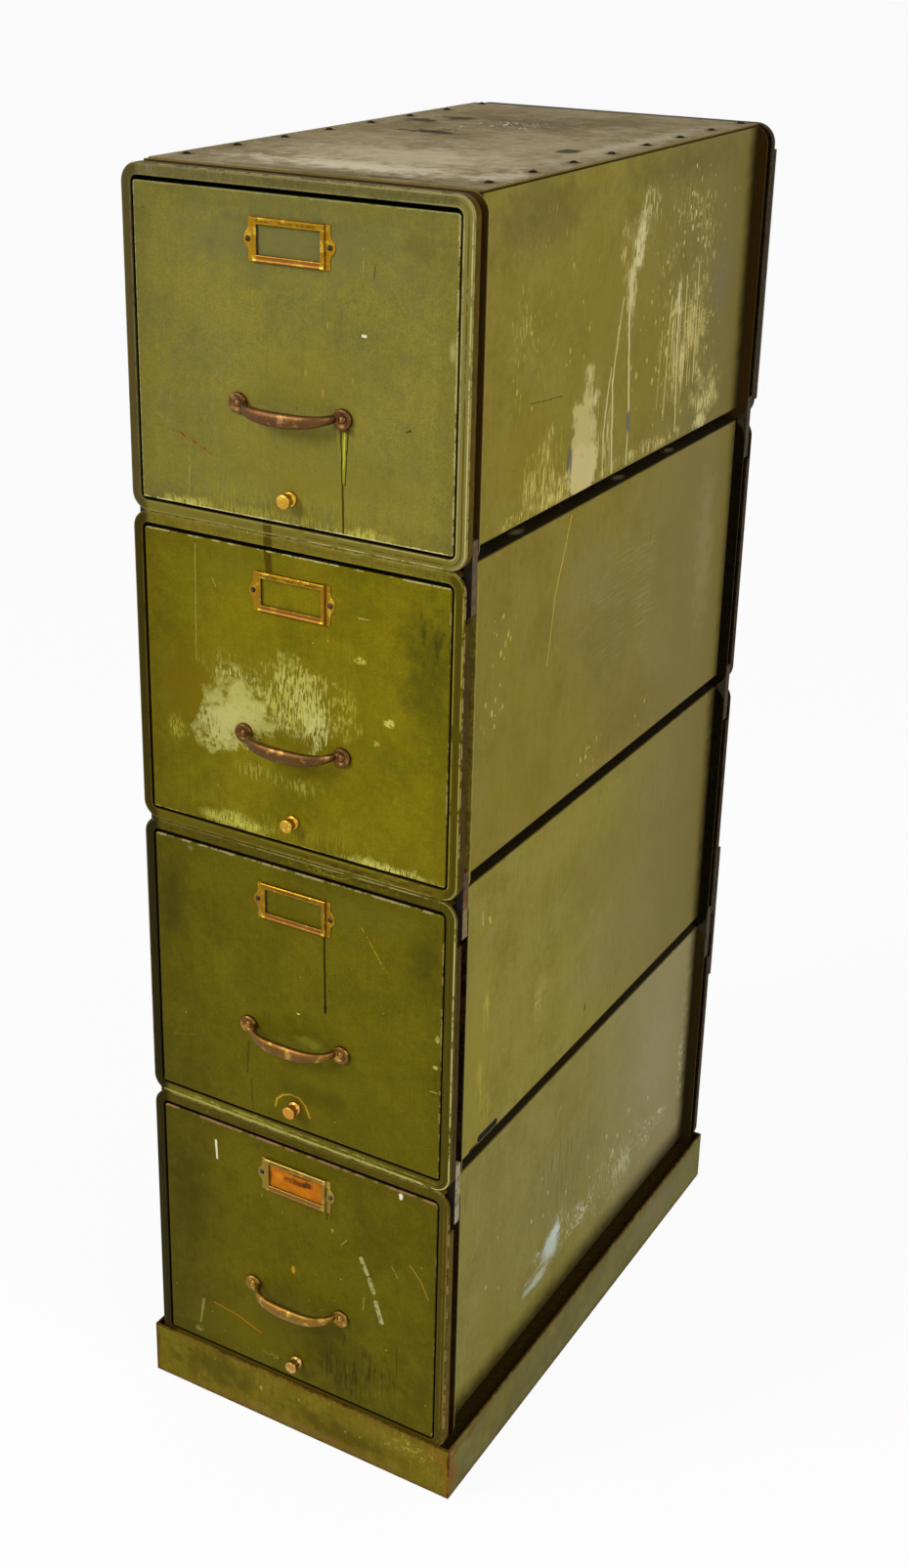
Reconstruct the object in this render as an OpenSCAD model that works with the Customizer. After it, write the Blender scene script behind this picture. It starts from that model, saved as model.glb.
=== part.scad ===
// Sectional steel filing cabinet: four identical letter-file sections stacked on an open base.
// Origin: centre of the base's footprint, on the floor. +X right, -Y front, +Z up. Millimetres.

/* [Section] */
// Height of one section, which is the height of its two frames
section_h = 323; // [310:1:340]
// Outside width of the sheet-metal case
case_w = 346; // [340:1:352]
// Depth of the case between its two frames
case_d = 614; // [606:1:630]
// Thickness of the case sheet
sheet_t = 1.2; // [1:0.1:1.8]
// Height of the case floor above the foot of the frames
floor_rise = 15; // [12:0.5:16]
// Width of the flange that the top sheet is riveted to
top_flange = 26; // [22:1:34]
// Height of the top sheet above the frames
top_rise = 1; // [0:0.1:1.5]
// Distance of the top sheet's front edge from the face frame
top_setback = 6; // [2:0.5:10]
// Distance of the top sheet's side edges from the case's sides
top_inset = 1; // [0.2:0.1:2]

/* [Frames] */
// Depth of the front and rear frames
frame_d = 24; // [22:0.5:28]
// Thickness of the frames' rolled section
frame_t = 2.5; // [2:0.1:3]
// Depth of the lip that turns over the outer edge
lip_d = 11; // [8:0.5:12]
// Width of the face frame's rim, from its opening to its outer edge
front_rim = 11; // [9:0.5:12]
// Width of the rear frame's rim
rear_rim = 14.5; // [12:0.5:15]
// Radius of the openings' corners
opening_r = 7; // [6:0.5:11]
// Radius of the rounded outer edge of the lip
lip_round = 2; // [0.5:0.1:2.2]

/* [Base] */
// Gap between the rear frame and the base's side walls
base_side_gap = 3.5; // [0.5:0.5:12]
// Gap between the frames and the base's end walls
base_end_gap = 0.5; // [0.5:0.5:12]
// Height of the base
base_h = 63.5; // [50:0.5:90]
// Thickness of the base's walls
base_t = 2; // [1.5:0.1:2.5]
// Depth of the ledge below the base's rim
ledge_drop = 8.5; // [4:0.5:12]
// Width of the ledge that the stack stands on
ledge_w = 36; // [34:1:44]
// Width of the flange turned in at the floor
foot_w = 14; // [8:1:30]

/* [Drawer front] */
// Gap between the drawer front and the frame at each side
gap_side = 2.5; // [2:0.1:3.5]
// Gap above the drawer front
gap_top = 4.5; // [2:0.1:5]
// Gap below the drawer front
gap_bottom = 3; // [2:0.1:4]
// Depth of the drawer front's pressed pan
front_d = 18; // [14:0.5:20]
// Thickness of the drawer front's sheet
front_t = 1.2; // [1:0.1:1.8]
// Radius of the drawer front's corners
front_corner_r = 3; // [2.5:0.1:4]
// Radius of the bend round the drawer front's face
front_edge_r = 1.4; // [0.6:0.1:1.4]

/* [Drawer tray] */
// Inside depth of the tray
tray_d = 588; // [560:1:590]
// Height of the tray's walls
tray_h = 232; // [200:1:250]
// Height of the tray's floor above the foot of the drawer front
tray_rise = 6; // [4:0.5:8]
// Thickness of the tray's sheet
tray_t = 1; // [1:0.1:1.8]
// Radius of the rolled rim round the tray
rim_r = 3; // [2:0.1:4]

/* [Slides] */
// How far a drawer opens
travel = 560; // [480:5:560]
// Diameter of the slide rollers
roller_d = 21.4; // [16:0.2:24]
// Width of a roller's tread
roller_w = 5; // [4:0.1:5.5]
// Width of each channel that the rollers run in
rail_w = 8.5; // [8.3:0.1:8.8]
// Thickness of the channels and of the sliding bar
rail_t = 1.5; // [1.2:0.1:1.6]
// Height of the rollers' centres above the foot of the frames
rail_rise = 50; // [44:1:70]
// Height of the sliding bar
bar_h = 30; // [24:1:34]
// Diameter of the rollers' axles
axle_d = 5; // [4:0.1:6]
// Gap between the sliding bar and the channels
bar_gap = 0.5; // [0.4:0.05:0.6]
// Gap between a roller and the channel's flanges
roller_gap = 0.3; // [0.2:0.05:0.5]

/* [Guide rod and follower] */
// Diameter of the guide rod
rod_d = 8; // [6:0.1:9]
// Height of the rod above the foot of the drawer front
rod_rise = 25; // [22:0.5:30]
// Radial clearance of the rod in its bores
rod_fit = 0.05; // [0.03:0.01:0.1]
// Diameter of the rod's knob
knob_d = 14; // [12:0.5:18]
// Length of the knob in front of the drawer
knob_l = 15; // [12:0.5:20]
// Width of the follower plate
follower_w = 286; // [240:1:290]
// Height of the follower plate
follower_h = 214; // [160:1:224]
// Gap between the follower's foot and the tray's back, with the follower pushed back
follower_back_gap = 18.5; // [2:0.5:60]
// Gap between the follower's foot and the tray's floor
follower_gap = 0.3; // [0.2:0.05:0.5]

/* [Handle] */
// Distance between the handle's two screws
handle_span = 111; // [90:0.5:130]
// Height of the handle's screws above the foot of the drawer front
handle_rise = 106; // [90:1:150]
// Diameter of the round foot at each end
boss_d = 19.5; // [18:0.5:24]
// Thickness of each round foot
boss_t = 4; // [3.5:0.1:5]
// Distance from the drawer front to the middle of the grip
handle_reach = 21; // [18:0.5:30]
// How far the grip hangs below its screws
handle_drop = 2.5; // [0:0.5:10]
// Height of the grip at its middle
grip_h = 13; // [10:0.5:16]
// Thickness of the grip at its middle
grip_t = 9; // [7:0.5:11]
// Height of the neck beside each foot
neck_h = 7.5; // [6:0.5:9]
// Thickness of the neck beside each foot
neck_t = 6; // [5:0.5:7]
// Diameter of the handle screws
screw_d = 4.8; // [4:0.1:5]

/* [Label holder] */
// Width of the holder's plate
holder_w = 85; // [83:0.5:100]
// Height of the holder's plate
holder_h = 39; // [34:0.5:46]
// Distance from the top of the drawer front to the middle of the holder
holder_drop = 40; // [34:1:50]
// Width of the raised frame round the window
holder_frame_w = 75; // [70:0.5:76]
// Width of the window
window_w = 66; // [60:0.5:67]
// Height of the window
window_h = 26; // [20:0.5:28]
// How far the raised frame stands from the drawer front
holder_d = 2.6; // [2.2:0.1:3.5]
// Thickness of the holder's sheet
holder_t = 1; // [0.8:0.1:1.1]
// Radius of the screw ears
ear_r = 6.5; // [5:0.5:7]
// Diameter of the holder's screws
pin_d = 2.6; // [2:0.1:3]
// Thickness of the label card
card_t = 0.4; // [0.2:0.05:0.6]

/* [Rivets, clips and straps] */
// Rivets along each side of a top sheet
rivets_per_side = 8; // [4:1:12]
// Diameter of a rivet's head
rivet_head_d = 9; // [5:0.1:10]
// Diameter of a rivet's shank
rivet_d = 3; // [2.4:0.1:3.6]
// Distance from the case's side to the rivets
rivet_inset = 16; // [12:0.5:18]
// Distance from the front of the case to the first rivets
rivet_front = 43; // [20:1:60]
// Distance from the rear of the case to the last rivets
rivet_rear = 11; // [8:1:60]
// Length of a stacking clip below the seam
clip_below = 47; // [32:1:60]
// Length of a stacking clip above the seam
clip_above = 27; // [24:1:40]
// Length of the strap behind the top section
long_strap = 274; // [150:1:280]
// Length of the strap behind the seam of the two lowest sections
short_strap = 178; // [120:1:220]
// How much of the short strap lies below its seam
strap_below = 76; // [40:1:100]
// Width of the straps
strap_w = 16; // [12:0.5:20]
// Thickness of the straps
strap_t = 5; // [3:0.5:6]

/* [Hidden] */
$fn = 48;
// Sections are numbered from the top, as their drawers are
SECTIONS = [1, 2, 3, 4];
SECTION_PARTS = [
    "case_shell", "face_frame", "rear_frame", "back_panel", "case_rails",
    "drawer_front", "drawer_tray", "handle", "label_holder", "drawer_screws",
    "slides", "guide_rod", "rod_knob", "follower"
];

// Frames and case
eps = 0.01;
ledge_z = base_h - ledge_drop;
opening_w = case_w - 2 * frame_t;
front_opening_h = section_h - 2 * front_rim;
case_front_y = -case_d / 2;
case_rear_y = case_d / 2;
face_y = case_front_y - frame_d;
case_in = case_w / 2 - sheet_t;
case_floor_z = floor_rise + sheet_t;
case_top_z = section_h + top_rise;
top_header_d = 26;
channel_front = lip_d;
channel_rear = frame_d - frame_t;
stack_w = opening_w + 2 * max(front_rim, rear_rim);
stack_d = case_d + 2 * frame_d;
base_w = stack_w + 2 * base_side_gap + 2 * base_t;
base_d = stack_d + 2 * base_end_gap + 2 * base_t;

// Drawer front
front_w = opening_w - 2 * gap_side;
front_h = front_opening_h - gap_top - gap_bottom;
front_foot_z = front_rim + gap_bottom;
front_mid_z = front_foot_z + front_h / 2;
liner_y = face_y + front_d;
handle_z = front_foot_z + handle_rise;
holder_z = front_foot_z + front_h - holder_drop;

// Slides, worked out from the case wall inwards
bar_out = case_in - rail_w - bar_gap;
tray_out = bar_out - rail_t - bar_gap - rail_w;
rail_h = roller_d + 2 * roller_gap + 2 * rail_t;
rail_end_gap = 4;
rail_back_gap = 20;
bar_back_gap = 48;
roller_inset = 14;
bar_front_y = case_front_y + rail_end_gap;
bar_l = case_d - rail_end_gap - bar_back_gap;
case_rail_l = case_d - rail_end_gap - rail_back_gap;
tray_rail_l = tray_d - rail_end_gap;

// Tray
tray_z = front_foot_z + tray_rise;
tray_back_y = liner_y + tray_d;
rod_z = front_foot_z + rod_rise;
rod_tail = 4;
follower_foot_w = 120;
follower_foot_d = 56;
follower_y = tray_back_y - tray_t - follower_back_gap - follower_foot_d;

// Rollers: each pair stays inside its channel over the whole travel
bar_rollers = [
    bar_front_y + roller_inset + travel / 2, bar_front_y + bar_l - roller_inset
];
tray_rollers = [
    bar_front_y + roller_inset, liner_y + tray_rail_l - roller_inset - travel / 2
];

bush_w = 22;
bush_d = 24;

// Small fits and fasteners
pin_fit = 0.05;
screw_head_d = 7.6;
boss_rim = 1;
boss_floor_t = boss_t - boss_rim - 0.5;
boss_bore_d = screw_head_d + 1.4;
screw_head_h = 2.2;
nut_d = 10;
nut_t = 3.2;
pin_head_d = 5.4;
pin_head_h = 1.8;
pin_tail = 2;
rivet_head_h = 2;
rivet_tail_h = 1.2;
rivet_tail_d = rivet_d + 3;
clip_gap = 0.2;
clip_chamfer = 5;

function section_z(n) = ledge_z + (len(SECTIONS) - n) * section_h;

// ---- shared shapes ----

module at_section(n) {
    translate([0, 0, section_z(n)]) children();
}

module both_sides() {
    children();
    mirror([1, 0, 0]) children();
}

// A shape drawn in X and Z, made solid from y0 towards +Y
module slab_xz(y0, depth) {
    translate([0, y0 + depth, 0]) rotate([90, 0, 0]) linear_extrude(depth) children();
}

// Rectangle with round corners about the middle
module rounded_rect(w, h, r) {
    square([w - 2 * r, h], center = true);
    square([w, h - 2 * r], center = true);
    for (x = [-1, 1]) for (y = [-1, 1]) {
        translate([x * (w / 2 - r), y * (h / 2 - r)]) circle(r);
    }
}

// A bore along Y
module bore_y(d, y0, depth) {
    translate([0, y0, 0]) rotate([-90, 0, 0]) cylinder(d = d, h = depth);
}

// Low dome that stands on z = 0
module dome(d, h) {
    ball_r = (d * d / 4 + h * h) / (2 * h);
    intersection() {
        translate([0, 0, h - ball_r]) sphere(ball_r);
        cylinder(d = d + 1, h = h + 1);
    }
}

// ---- base ----

module base_plinth() {
    inner_w = base_w - 2 * base_t;
    inner_d = base_d - 2 * base_t;
    color("darkolivegreen") difference() {
        translate([-base_w / 2, -base_d / 2, 0]) cube([base_w, base_d, base_h]);
        // Gutter above the ledge
        translate([-inner_w / 2, -inner_d / 2, ledge_z]) cube([inner_w, inner_d, base_h]);
        // Hollow below the ledge
        translate([-inner_w / 2, -inner_d / 2, base_t]) {
            cube([inner_w, inner_d, ledge_z - 2 * base_t]);
        }
        // Open middle of the ledge
        translate([-inner_w / 2 + ledge_w, -inner_d / 2 + ledge_w, base_t]) {
            cube([inner_w - 2 * ledge_w, inner_d - 2 * ledge_w, base_h]);
        }
        // Open middle of the foot
        translate([-inner_w / 2 + foot_w, -inner_d / 2 + foot_w, -1]) {
            cube([inner_w - 2 * foot_w, inner_d - 2 * foot_w, base_h / 2]);
        }
    }
}

// ---- section: frames and case ----

// Rolled section: x is the distance out from the opening, y the depth from the face
module frame_profile(rim) {
    square([frame_t, frame_d]);
    translate([0, frame_d - frame_t]) square([rim, frame_t]);
    difference() {
        square([rim, lip_d]);
        translate([frame_t, frame_t]) square([rim - 2 * frame_t, lip_d]);
        translate([rim - lip_round, 0]) difference() {
            translate([0, -1]) square([lip_round + 1, lip_round + 1]);
            translate([0, lip_round]) circle(lip_round);
        }
    }
}

// The profile run round an opening, with the face at y = 0. In a frame with a section above it,
// the lip is notched away at the two upper corners, where that section's clips reach down.
module frame_ring(open_w, open_h, rim, notched) {
    run_w = open_w - 2 * opening_r;
    run_h = open_h - 2 * opening_r;
    corners = [[1, 1, 0], [-1, 1, 90], [-1, -1, 180], [1, -1, 270]];
    sides = [[open_w, run_h, 0], [open_h, run_w, 90], [open_w, run_h, 180], [open_h, run_w, 270]];
    notch_h = clip_below + clip_gap;
    difference() {
        rotate([90, 0, 0]) mirror([0, 0, 1]) {
            for (c = corners) {
                translate([c[0] * run_w / 2, c[1] * run_h / 2, 0]) rotate([0, 0, c[2]]) {
                    rotate_extrude(angle = 90) translate([opening_r, 0]) frame_profile(rim);
                }
            }
            for (s = sides) {
                rotate([0, 0, s[2]]) translate([s[0] / 2, s[1] / 2, 0]) rotate([90, 0, 0]) {
                    linear_extrude(s[1]) frame_profile(rim);
                }
            }
        }
        if (notched) {
            both_sides() translate([open_w / 2 + frame_t, frame_t, open_h / 2 + rim - notch_h]) {
                cube([rim, lip_d, notch_h + 1]);
            }
        }
    }
}

module face_frame(notched) {
    color("olivedrab") translate([0, face_y, section_h / 2]) {
        frame_ring(opening_w, front_opening_h, front_rim, notched);
    }
}

module rear_frame(notched) {
    color("olivedrab") translate([0, case_rear_y + frame_d, section_h / 2]) mirror([0, 1, 0]) {
        frame_ring(opening_w, section_h - 2 * rear_rim, rear_rim, notched);
    }
}

// Rivet places along one side of a top sheet
function rivet_y(i) = case_front_y + rivet_front
    + i * (case_d - rivet_front - rivet_rear) / (rivets_per_side - 1);

module each_rivet() {
    both_sides() for (i = [0 : rivets_per_side - 1]) {
        translate([case_w / 2 - rivet_inset, rivet_y(i), case_top_z]) children();
    }
}

// Folded wrapper with flanges turned in at the top, a header across its front, and the sheet
// riveted on them
module case_shell() {
    wall_h = case_top_z - sheet_t - floor_rise;
    top_w = case_w - 2 * top_inset;
    color("olivedrab") difference() {
        union() {
            difference() {
                translate([-case_w / 2, case_front_y, floor_rise]) cube([case_w, case_d, wall_h]);
                translate([-case_in, case_front_y - 1, case_floor_z]) {
                    cube([2 * case_in, case_d + 2, wall_h - 2 * sheet_t]);
                }
                translate([-case_in + top_flange, case_front_y + top_header_d, case_floor_z]) {
                    cube([2 * (case_in - top_flange), case_d, section_h]);
                }
            }
            translate([-top_w / 2, case_front_y + top_setback, case_top_z - sheet_t]) {
                cube([top_w, case_d - top_setback, sheet_t]);
            }
        }
        each_rivet() translate([0, 0, -3 * sheet_t]) cylinder(d = rivet_d + 2 * pin_fit, h = 4 * sheet_t);
    }
}

module back_panel() {
    panel_h = case_top_z - 2 * sheet_t - case_floor_z;
    color("olivedrab") translate([-case_in, case_rear_y - sheet_t, case_floor_z]) {
        cube([2 * case_in, sheet_t, panel_h]);
    }
}

// Channel that opens towards -X, with its back at x = 0
module channel(l) {
    difference() {
        translate([-rail_w, 0, -rail_h / 2]) cube([rail_w, l, rail_h]);
        translate([-rail_w - 1, -1, -rail_h / 2 + rail_t]) {
            cube([rail_w + 1 - rail_t, l + 2, rail_h - 2 * rail_t]);
        }
    }
}

module case_rails() {
    color("darkkhaki") both_sides() {
        translate([case_in, bar_front_y, rail_rise]) channel(case_rail_l);
    }
}

// ---- section: drawer ----

// Pressed pan with turned edges, open at the back
module drawer_front() {
    inner_r = front_corner_r - front_t;
    color("darkolivegreen") difference() {
        translate([0, 0, front_mid_z]) {
            slab_xz(face_y, front_d) rounded_rect(front_w, front_h, front_corner_r);
        }
        translate([0, 0, front_mid_z]) slab_xz(face_y + front_t, front_d) {
            rounded_rect(front_w - 2 * front_t, front_h - 2 * front_t, inner_r);
        }
        bend_cutters();
        translate([0, 0, rod_z]) bore_y(rod_d + 2 * rod_fit, face_y - 1, front_t + 2);
        for (x = [-1, 1]) {
            translate([x * handle_span / 2, 0, handle_z]) {
                bore_y(screw_d + 2 * pin_fit, face_y - 1, front_t + 2);
            }
            translate([x * holder_w / 2, 0, holder_z]) {
                bore_y(pin_d + 2 * pin_fit, face_y - 1, front_t + 2);
            }
        }
    }
}

// Rounds the four long edges of the drawer front's face
module bend_cutters() {
    for (edge = [[front_w, front_h, 0], [front_h, front_w, 90]]) {
        for (side = [0, 180]) {
            translate([0, face_y, front_mid_z]) rotate([0, edge[2] + side, 0]) {
                translate([0, 0, edge[1] / 2]) rotate([0, 90, 0]) bend_cutter(edge[0]);
            }
        }
    }
}

module bend_cutter(l) {
    translate([0, 0, -l / 2 - 1]) linear_extrude(l + 2) difference() {
        translate([-1, -1]) square(front_edge_r + 1);
        translate([front_edge_r, front_edge_r]) circle(front_edge_r);
    }
}

// Liner that closes the front, tray, rolled rim and the two channels welded on its sides
module drawer_tray() {
    liner_w = front_w - 2 * front_t;
    liner_h = front_h - 2 * front_t;
    inner_r = front_corner_r - front_t;
    in_x = tray_out - tray_t;
    rim_z = tray_z + tray_h;
    color("darkolivegreen") difference() {
        union() {
            translate([0, 0, front_mid_z]) slab_xz(liner_y - tray_t, tray_t) {
                rounded_rect(liner_w, liner_h, inner_r);
            }
            difference() {
                translate([-tray_out, liner_y, tray_z]) cube([2 * tray_out, tray_d, tray_h]);
                translate([-in_x, liner_y - 1, tray_z + tray_t]) {
                    cube([2 * in_x, tray_d + 1 - tray_t, tray_h]);
                }
            }
            both_sides() translate([tray_out - tray_t / 2, 0, rim_z]) {
                bore_y(2 * rim_r, liner_y, tray_d - tray_t / 2);
            }
            translate([-tray_out + tray_t / 2, tray_back_y - tray_t / 2, rim_z]) {
                rotate([0, 90, 0]) cylinder(r = rim_r, h = 2 * tray_out - tray_t);
            }
            for (x = [-1, 1]) {
                translate([x * (tray_out - tray_t / 2), tray_back_y - tray_t / 2, rim_z]) {
                    sphere(rim_r);
                }
            }
            both_sides() translate([tray_out, liner_y, rail_rise]) {
                mirror([1, 0, 0]) channel(tray_rail_l);
            }
        }
        for (y = [liner_y - tray_t, tray_back_y - tray_t]) {
            translate([0, 0, rod_z]) bore_y(rod_d + 2 * rod_fit, y - 1, tray_t + 2);
        }
    }
}

// Cast bow handle: two round feet and a grip that swells towards its middle
grip_root = handle_span / 2 - 8;
grip_stations = 32;
grip_sides = 20;
function grip_u(i) = -cos(180 * i / grip_stations);
function grip_point(u) = [
    u * grip_root,
    -boss_t / 2 - (handle_reach - boss_t / 2) * pow(max(0, 1 - pow(abs(u), 3)), 0.7),
    -handle_drop * (1 - u * u)
];
function grip_heading(i) = let (
    ahead = grip_point(grip_u(min(i + 1, grip_stations))),
    behind = grip_point(grip_u(max(i - 1, 0)))
) atan2(ahead[1] - behind[1], ahead[0] - behind[0]);
function grip_ring(i) = let (
    u = grip_u(i),
    swell = 1 - pow(abs(u), 1.6),
    half_h = (neck_h + (grip_h - neck_h) * swell) / 2,
    half_t = (neck_t + (grip_t - neck_t) * swell) / 2,
    heading = grip_heading(i),
    middle = grip_point(u)
) [for (k = [0 : grip_sides - 1]) let (turn = 360 * k / grip_sides) [
    middle[0] - half_t * cos(turn) * sin(heading),
    middle[1] + half_t * cos(turn) * cos(heading),
    middle[2] + half_h * sin(turn)
]];

module grip() {
    points = [for (i = [0 : grip_stations]) each grip_ring(i)];
    walls = [for (i = [0 : grip_stations - 1]) for (k = [0 : grip_sides - 1]) let (
        next = (k + 1) % grip_sides
    ) [
        i * grip_sides + k, (i + 1) * grip_sides + k,
        (i + 1) * grip_sides + next, i * grip_sides + next
    ]];
    first = [for (k = [0 : grip_sides - 1]) k];
    last = [for (k = [0 : grip_sides - 1]) (grip_stations + 1) * grip_sides - 1 - k];
    polyhedron(points, concat(walls, [first, last]));
}

module handle_boss() {
    difference() {
        union() {
            cylinder(d = boss_d, h = boss_t - boss_rim);
            cylinder(d = boss_d - 2, h = boss_t);
        }
        translate([0, 0, boss_floor_t]) cylinder(d = boss_bore_d, h = boss_t);
    }
}

module handle() {
    color("sienna") translate([0, face_y, handle_z]) difference() {
        union() {
            for (x = [-1, 1]) {
                translate([x * handle_span / 2, 0, 0]) rotate([90, 0, 0]) handle_boss();
            }
            grip();
        }
        for (x = [-1, 1]) {
            translate([x * handle_span / 2, 0, 0]) {
                bore_y(screw_d + 2 * pin_fit, -2 * boss_t, 4 * boss_t);
            }
        }
    }
}

// Holder's outline with an ear at each side
module holder_outline() {
    square([holder_w, holder_h], center = true);
    for (x = [-1, 1]) {
        translate([x * (holder_w / 2 - 1.5), 0]) circle(ear_r);
        polygon([
            [x * (holder_w / 2 - 1), ear_r + 5], [x * (holder_w / 2 + 2.4), ear_r - 2],
            [x * (holder_w / 2 + 2.4), 2 - ear_r], [x * (holder_w / 2 - 1), -ear_r - 5]
        ]);
    }
}

module label_holder() {
    pocket_w = (holder_frame_w + window_w) / 2;
    pocket_h = (holder_h + window_h) / 2;
    color("goldenrod") translate([0, 0, holder_z]) difference() {
        union() {
            slab_xz(face_y - holder_t, holder_t) holder_outline();
            slab_xz(face_y - holder_d, holder_d) square([holder_frame_w, holder_h], center = true);
        }
        // Pocket behind the raised frame, open at the top for the card
        translate([-pocket_w / 2, face_y - holder_d + holder_t, -pocket_h / 2]) {
            cube([pocket_w, holder_d, holder_h]);
        }
        slab_xz(face_y - holder_d - 1, holder_d + 2) square([window_w, window_h], center = true);
        for (x = [-1, 1]) {
            translate([x * holder_w / 2, 0, 0]) {
                bore_y(pin_d + 2 * pin_fit, face_y - holder_d - 1, holder_d + 2);
            }
        }
    }
}

module label_card() {
    pocket_w = (holder_frame_w + window_w) / 2;
    pocket_h = (holder_h + window_h) / 2;
    color("darkorange") translate([-pocket_w / 2 + 1, face_y - card_t, holder_z - pocket_h / 2]) {
        cube([pocket_w - 2, card_t, pocket_h]);
    }
}

// Two handle screws with nuts, and the two pins of the label holder
module drawer_screws() {
    shank_l = boss_floor_t + front_t + nut_t;
    color("dimgray") for (x = [-1, 1]) {
        translate([x * handle_span / 2, face_y, handle_z]) rotate([90, 0, 0]) {
            translate([0, 0, boss_floor_t]) dome(screw_head_d, screw_head_h);
            translate([0, 0, -front_t - nut_t]) cylinder(d = screw_d, h = shank_l + eps);
            translate([0, 0, -front_t - nut_t]) cylinder(d = nut_d, h = nut_t, $fn = 6);
        }
        translate([x * holder_w / 2, face_y, holder_z]) rotate([90, 0, 0]) {
            translate([0, 0, holder_t]) dome(pin_head_d, pin_head_h);
            translate([0, 0, -front_t - pin_tail]) {
                cylinder(d = pin_d, h = front_t + pin_tail + holder_t + eps);
            }
            translate([0, 0, -front_t - pin_tail]) cylinder(d = pin_head_d, h = pin_tail);
        }
    }
}

// ---- section: slides, rod and follower ----

// A roller on its axle, from the sliding bar outwards along +X
module roller() {
    space = rail_w - rail_t;
    axle_l = bar_gap + space - 0.5;
    rotate([0, 90, 0]) cylinder(d = axle_d, h = axle_l);
    translate([bar_gap + (space - roller_w) / 2, 0, 0]) rotate([0, 90, 0]) difference() {
        cylinder(d = roller_d, h = roller_w);
        translate([0, 0, -1]) cylinder(d = axle_d + 2 * pin_fit, h = roller_w + 2);
    }
}

// Sliding bars that carry the drawer, one pair of rollers in each channel
module slides() {
    color("gray") both_sides() {
        translate([bar_out - rail_t, bar_front_y, rail_rise - bar_h / 2]) {
            cube([rail_t, bar_l, bar_h]);
        }
        for (y = bar_rollers) translate([bar_out, y, rail_rise]) roller();
        for (y = tray_rollers) translate([bar_out - rail_t, y, rail_rise]) mirror([1, 0, 0]) roller();
    }
}

module guide_rod() {
    color("silver") translate([0, 0, rod_z]) {
        bore_y(rod_d, face_y - knob_l / 2, knob_l / 2 + front_d + tray_d + rod_tail);
    }
}

// Turned knob, outline in radius and height from its seat
module rod_knob() {
    seat = 0.3;
    collar_h = 3;
    color("goldenrod") translate([0, face_y - seat, rod_z]) rotate([90, 0, 0]) difference() {
        union() {
            cylinder(d = knob_d, h = collar_h);
            cylinder(d = knob_d - 4, h = knob_l - 1);
            translate([0, 0, collar_h]) cylinder(d1 = knob_d, d2 = knob_d - 4, h = 1.5);
            translate([0, 0, collar_h + 4]) cylinder(d1 = knob_d - 4, d2 = knob_d, h = 2);
            translate([0, 0, collar_h + 6]) cylinder(d = knob_d, h = knob_l - collar_h - 7);
            translate([0, 0, knob_l - 1]) dome(knob_d, 1);
        }
        translate([0, 0, -1]) cylinder(d = rod_d, h = knob_l / 2 - seat + 1);
    }
}

// Upright plate with side flanges on a foot that slides along the rod
module follower() {
    foot_z = tray_z + tray_t + follower_gap;
    plate_t = tray_t;
    bush_h = rod_z + rod_d - foot_z;
    flange_d = 14;
    color("slategray") translate([0, follower_y, foot_z]) difference() {
        union() {
            translate([-follower_w / 2, 0, 0]) cube([follower_w, plate_t, follower_h]);
            for (x = [-follower_w / 2, follower_w / 2 - plate_t]) {
                translate([x, 0, 0]) cube([plate_t, flange_d, follower_h]);
            }
            translate([-follower_w / 2, 0, follower_h - plate_t]) {
                cube([follower_w, flange_d, plate_t]);
            }
            translate([-follower_foot_w / 2, 0, 0]) {
                cube([follower_foot_w, follower_foot_d, plate_t]);
            }
            translate([-bush_w / 2, 0, 0]) cube([bush_w, bush_d, bush_h]);
            for (x = [-1, 1]) {
                translate([x * follower_foot_w / 3, 0, 0]) follower_gusset(plate_t);
            }
        }
        translate([0, 0, rod_z - foot_z]) bore_y(rod_d + 2 * rod_fit, -1, bush_d + 2);
    }
}

// Triangular web between the follower's plate and its foot
module follower_gusset(t) {
    translate([-t / 2, 0, 0]) rotate([90, 0, 90]) linear_extrude(t) {
        polygon([[0, 0], [follower_foot_d, 0], [follower_foot_d, t], [t, 2 * follower_foot_d]]);
    }
}

// ---- fasteners that join the stack ----

module top_rivets() {
    color("dimgray") for (n = SECTIONS) at_section(n) each_rivet() {
        dome(rivet_head_d, rivet_head_h);
        translate([0, 0, -2 * sheet_t]) cylinder(d = rivet_d, h = 2 * sheet_t + eps);
        translate([0, 0, -2 * sheet_t - rivet_tail_h]) {
            cylinder(d = rivet_tail_d, h = rivet_tail_h);
        }
    }
}

// Bar in a frame's outer channel across a seam, chamfered at its lower end
module clip_bar(rim) {
    bar_w = rim - frame_t - clip_gap;
    channel_w = channel_rear - channel_front - 2 * clip_gap;
    rotate([90, 0, 0]) mirror([0, 0, 1]) linear_extrude(channel_w) polygon([
        [0, -clip_below], [bar_w - clip_chamfer, -clip_below],
        [bar_w, clip_chamfer - clip_below], [bar_w, clip_above], [0, clip_above]
    ]);
}

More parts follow.
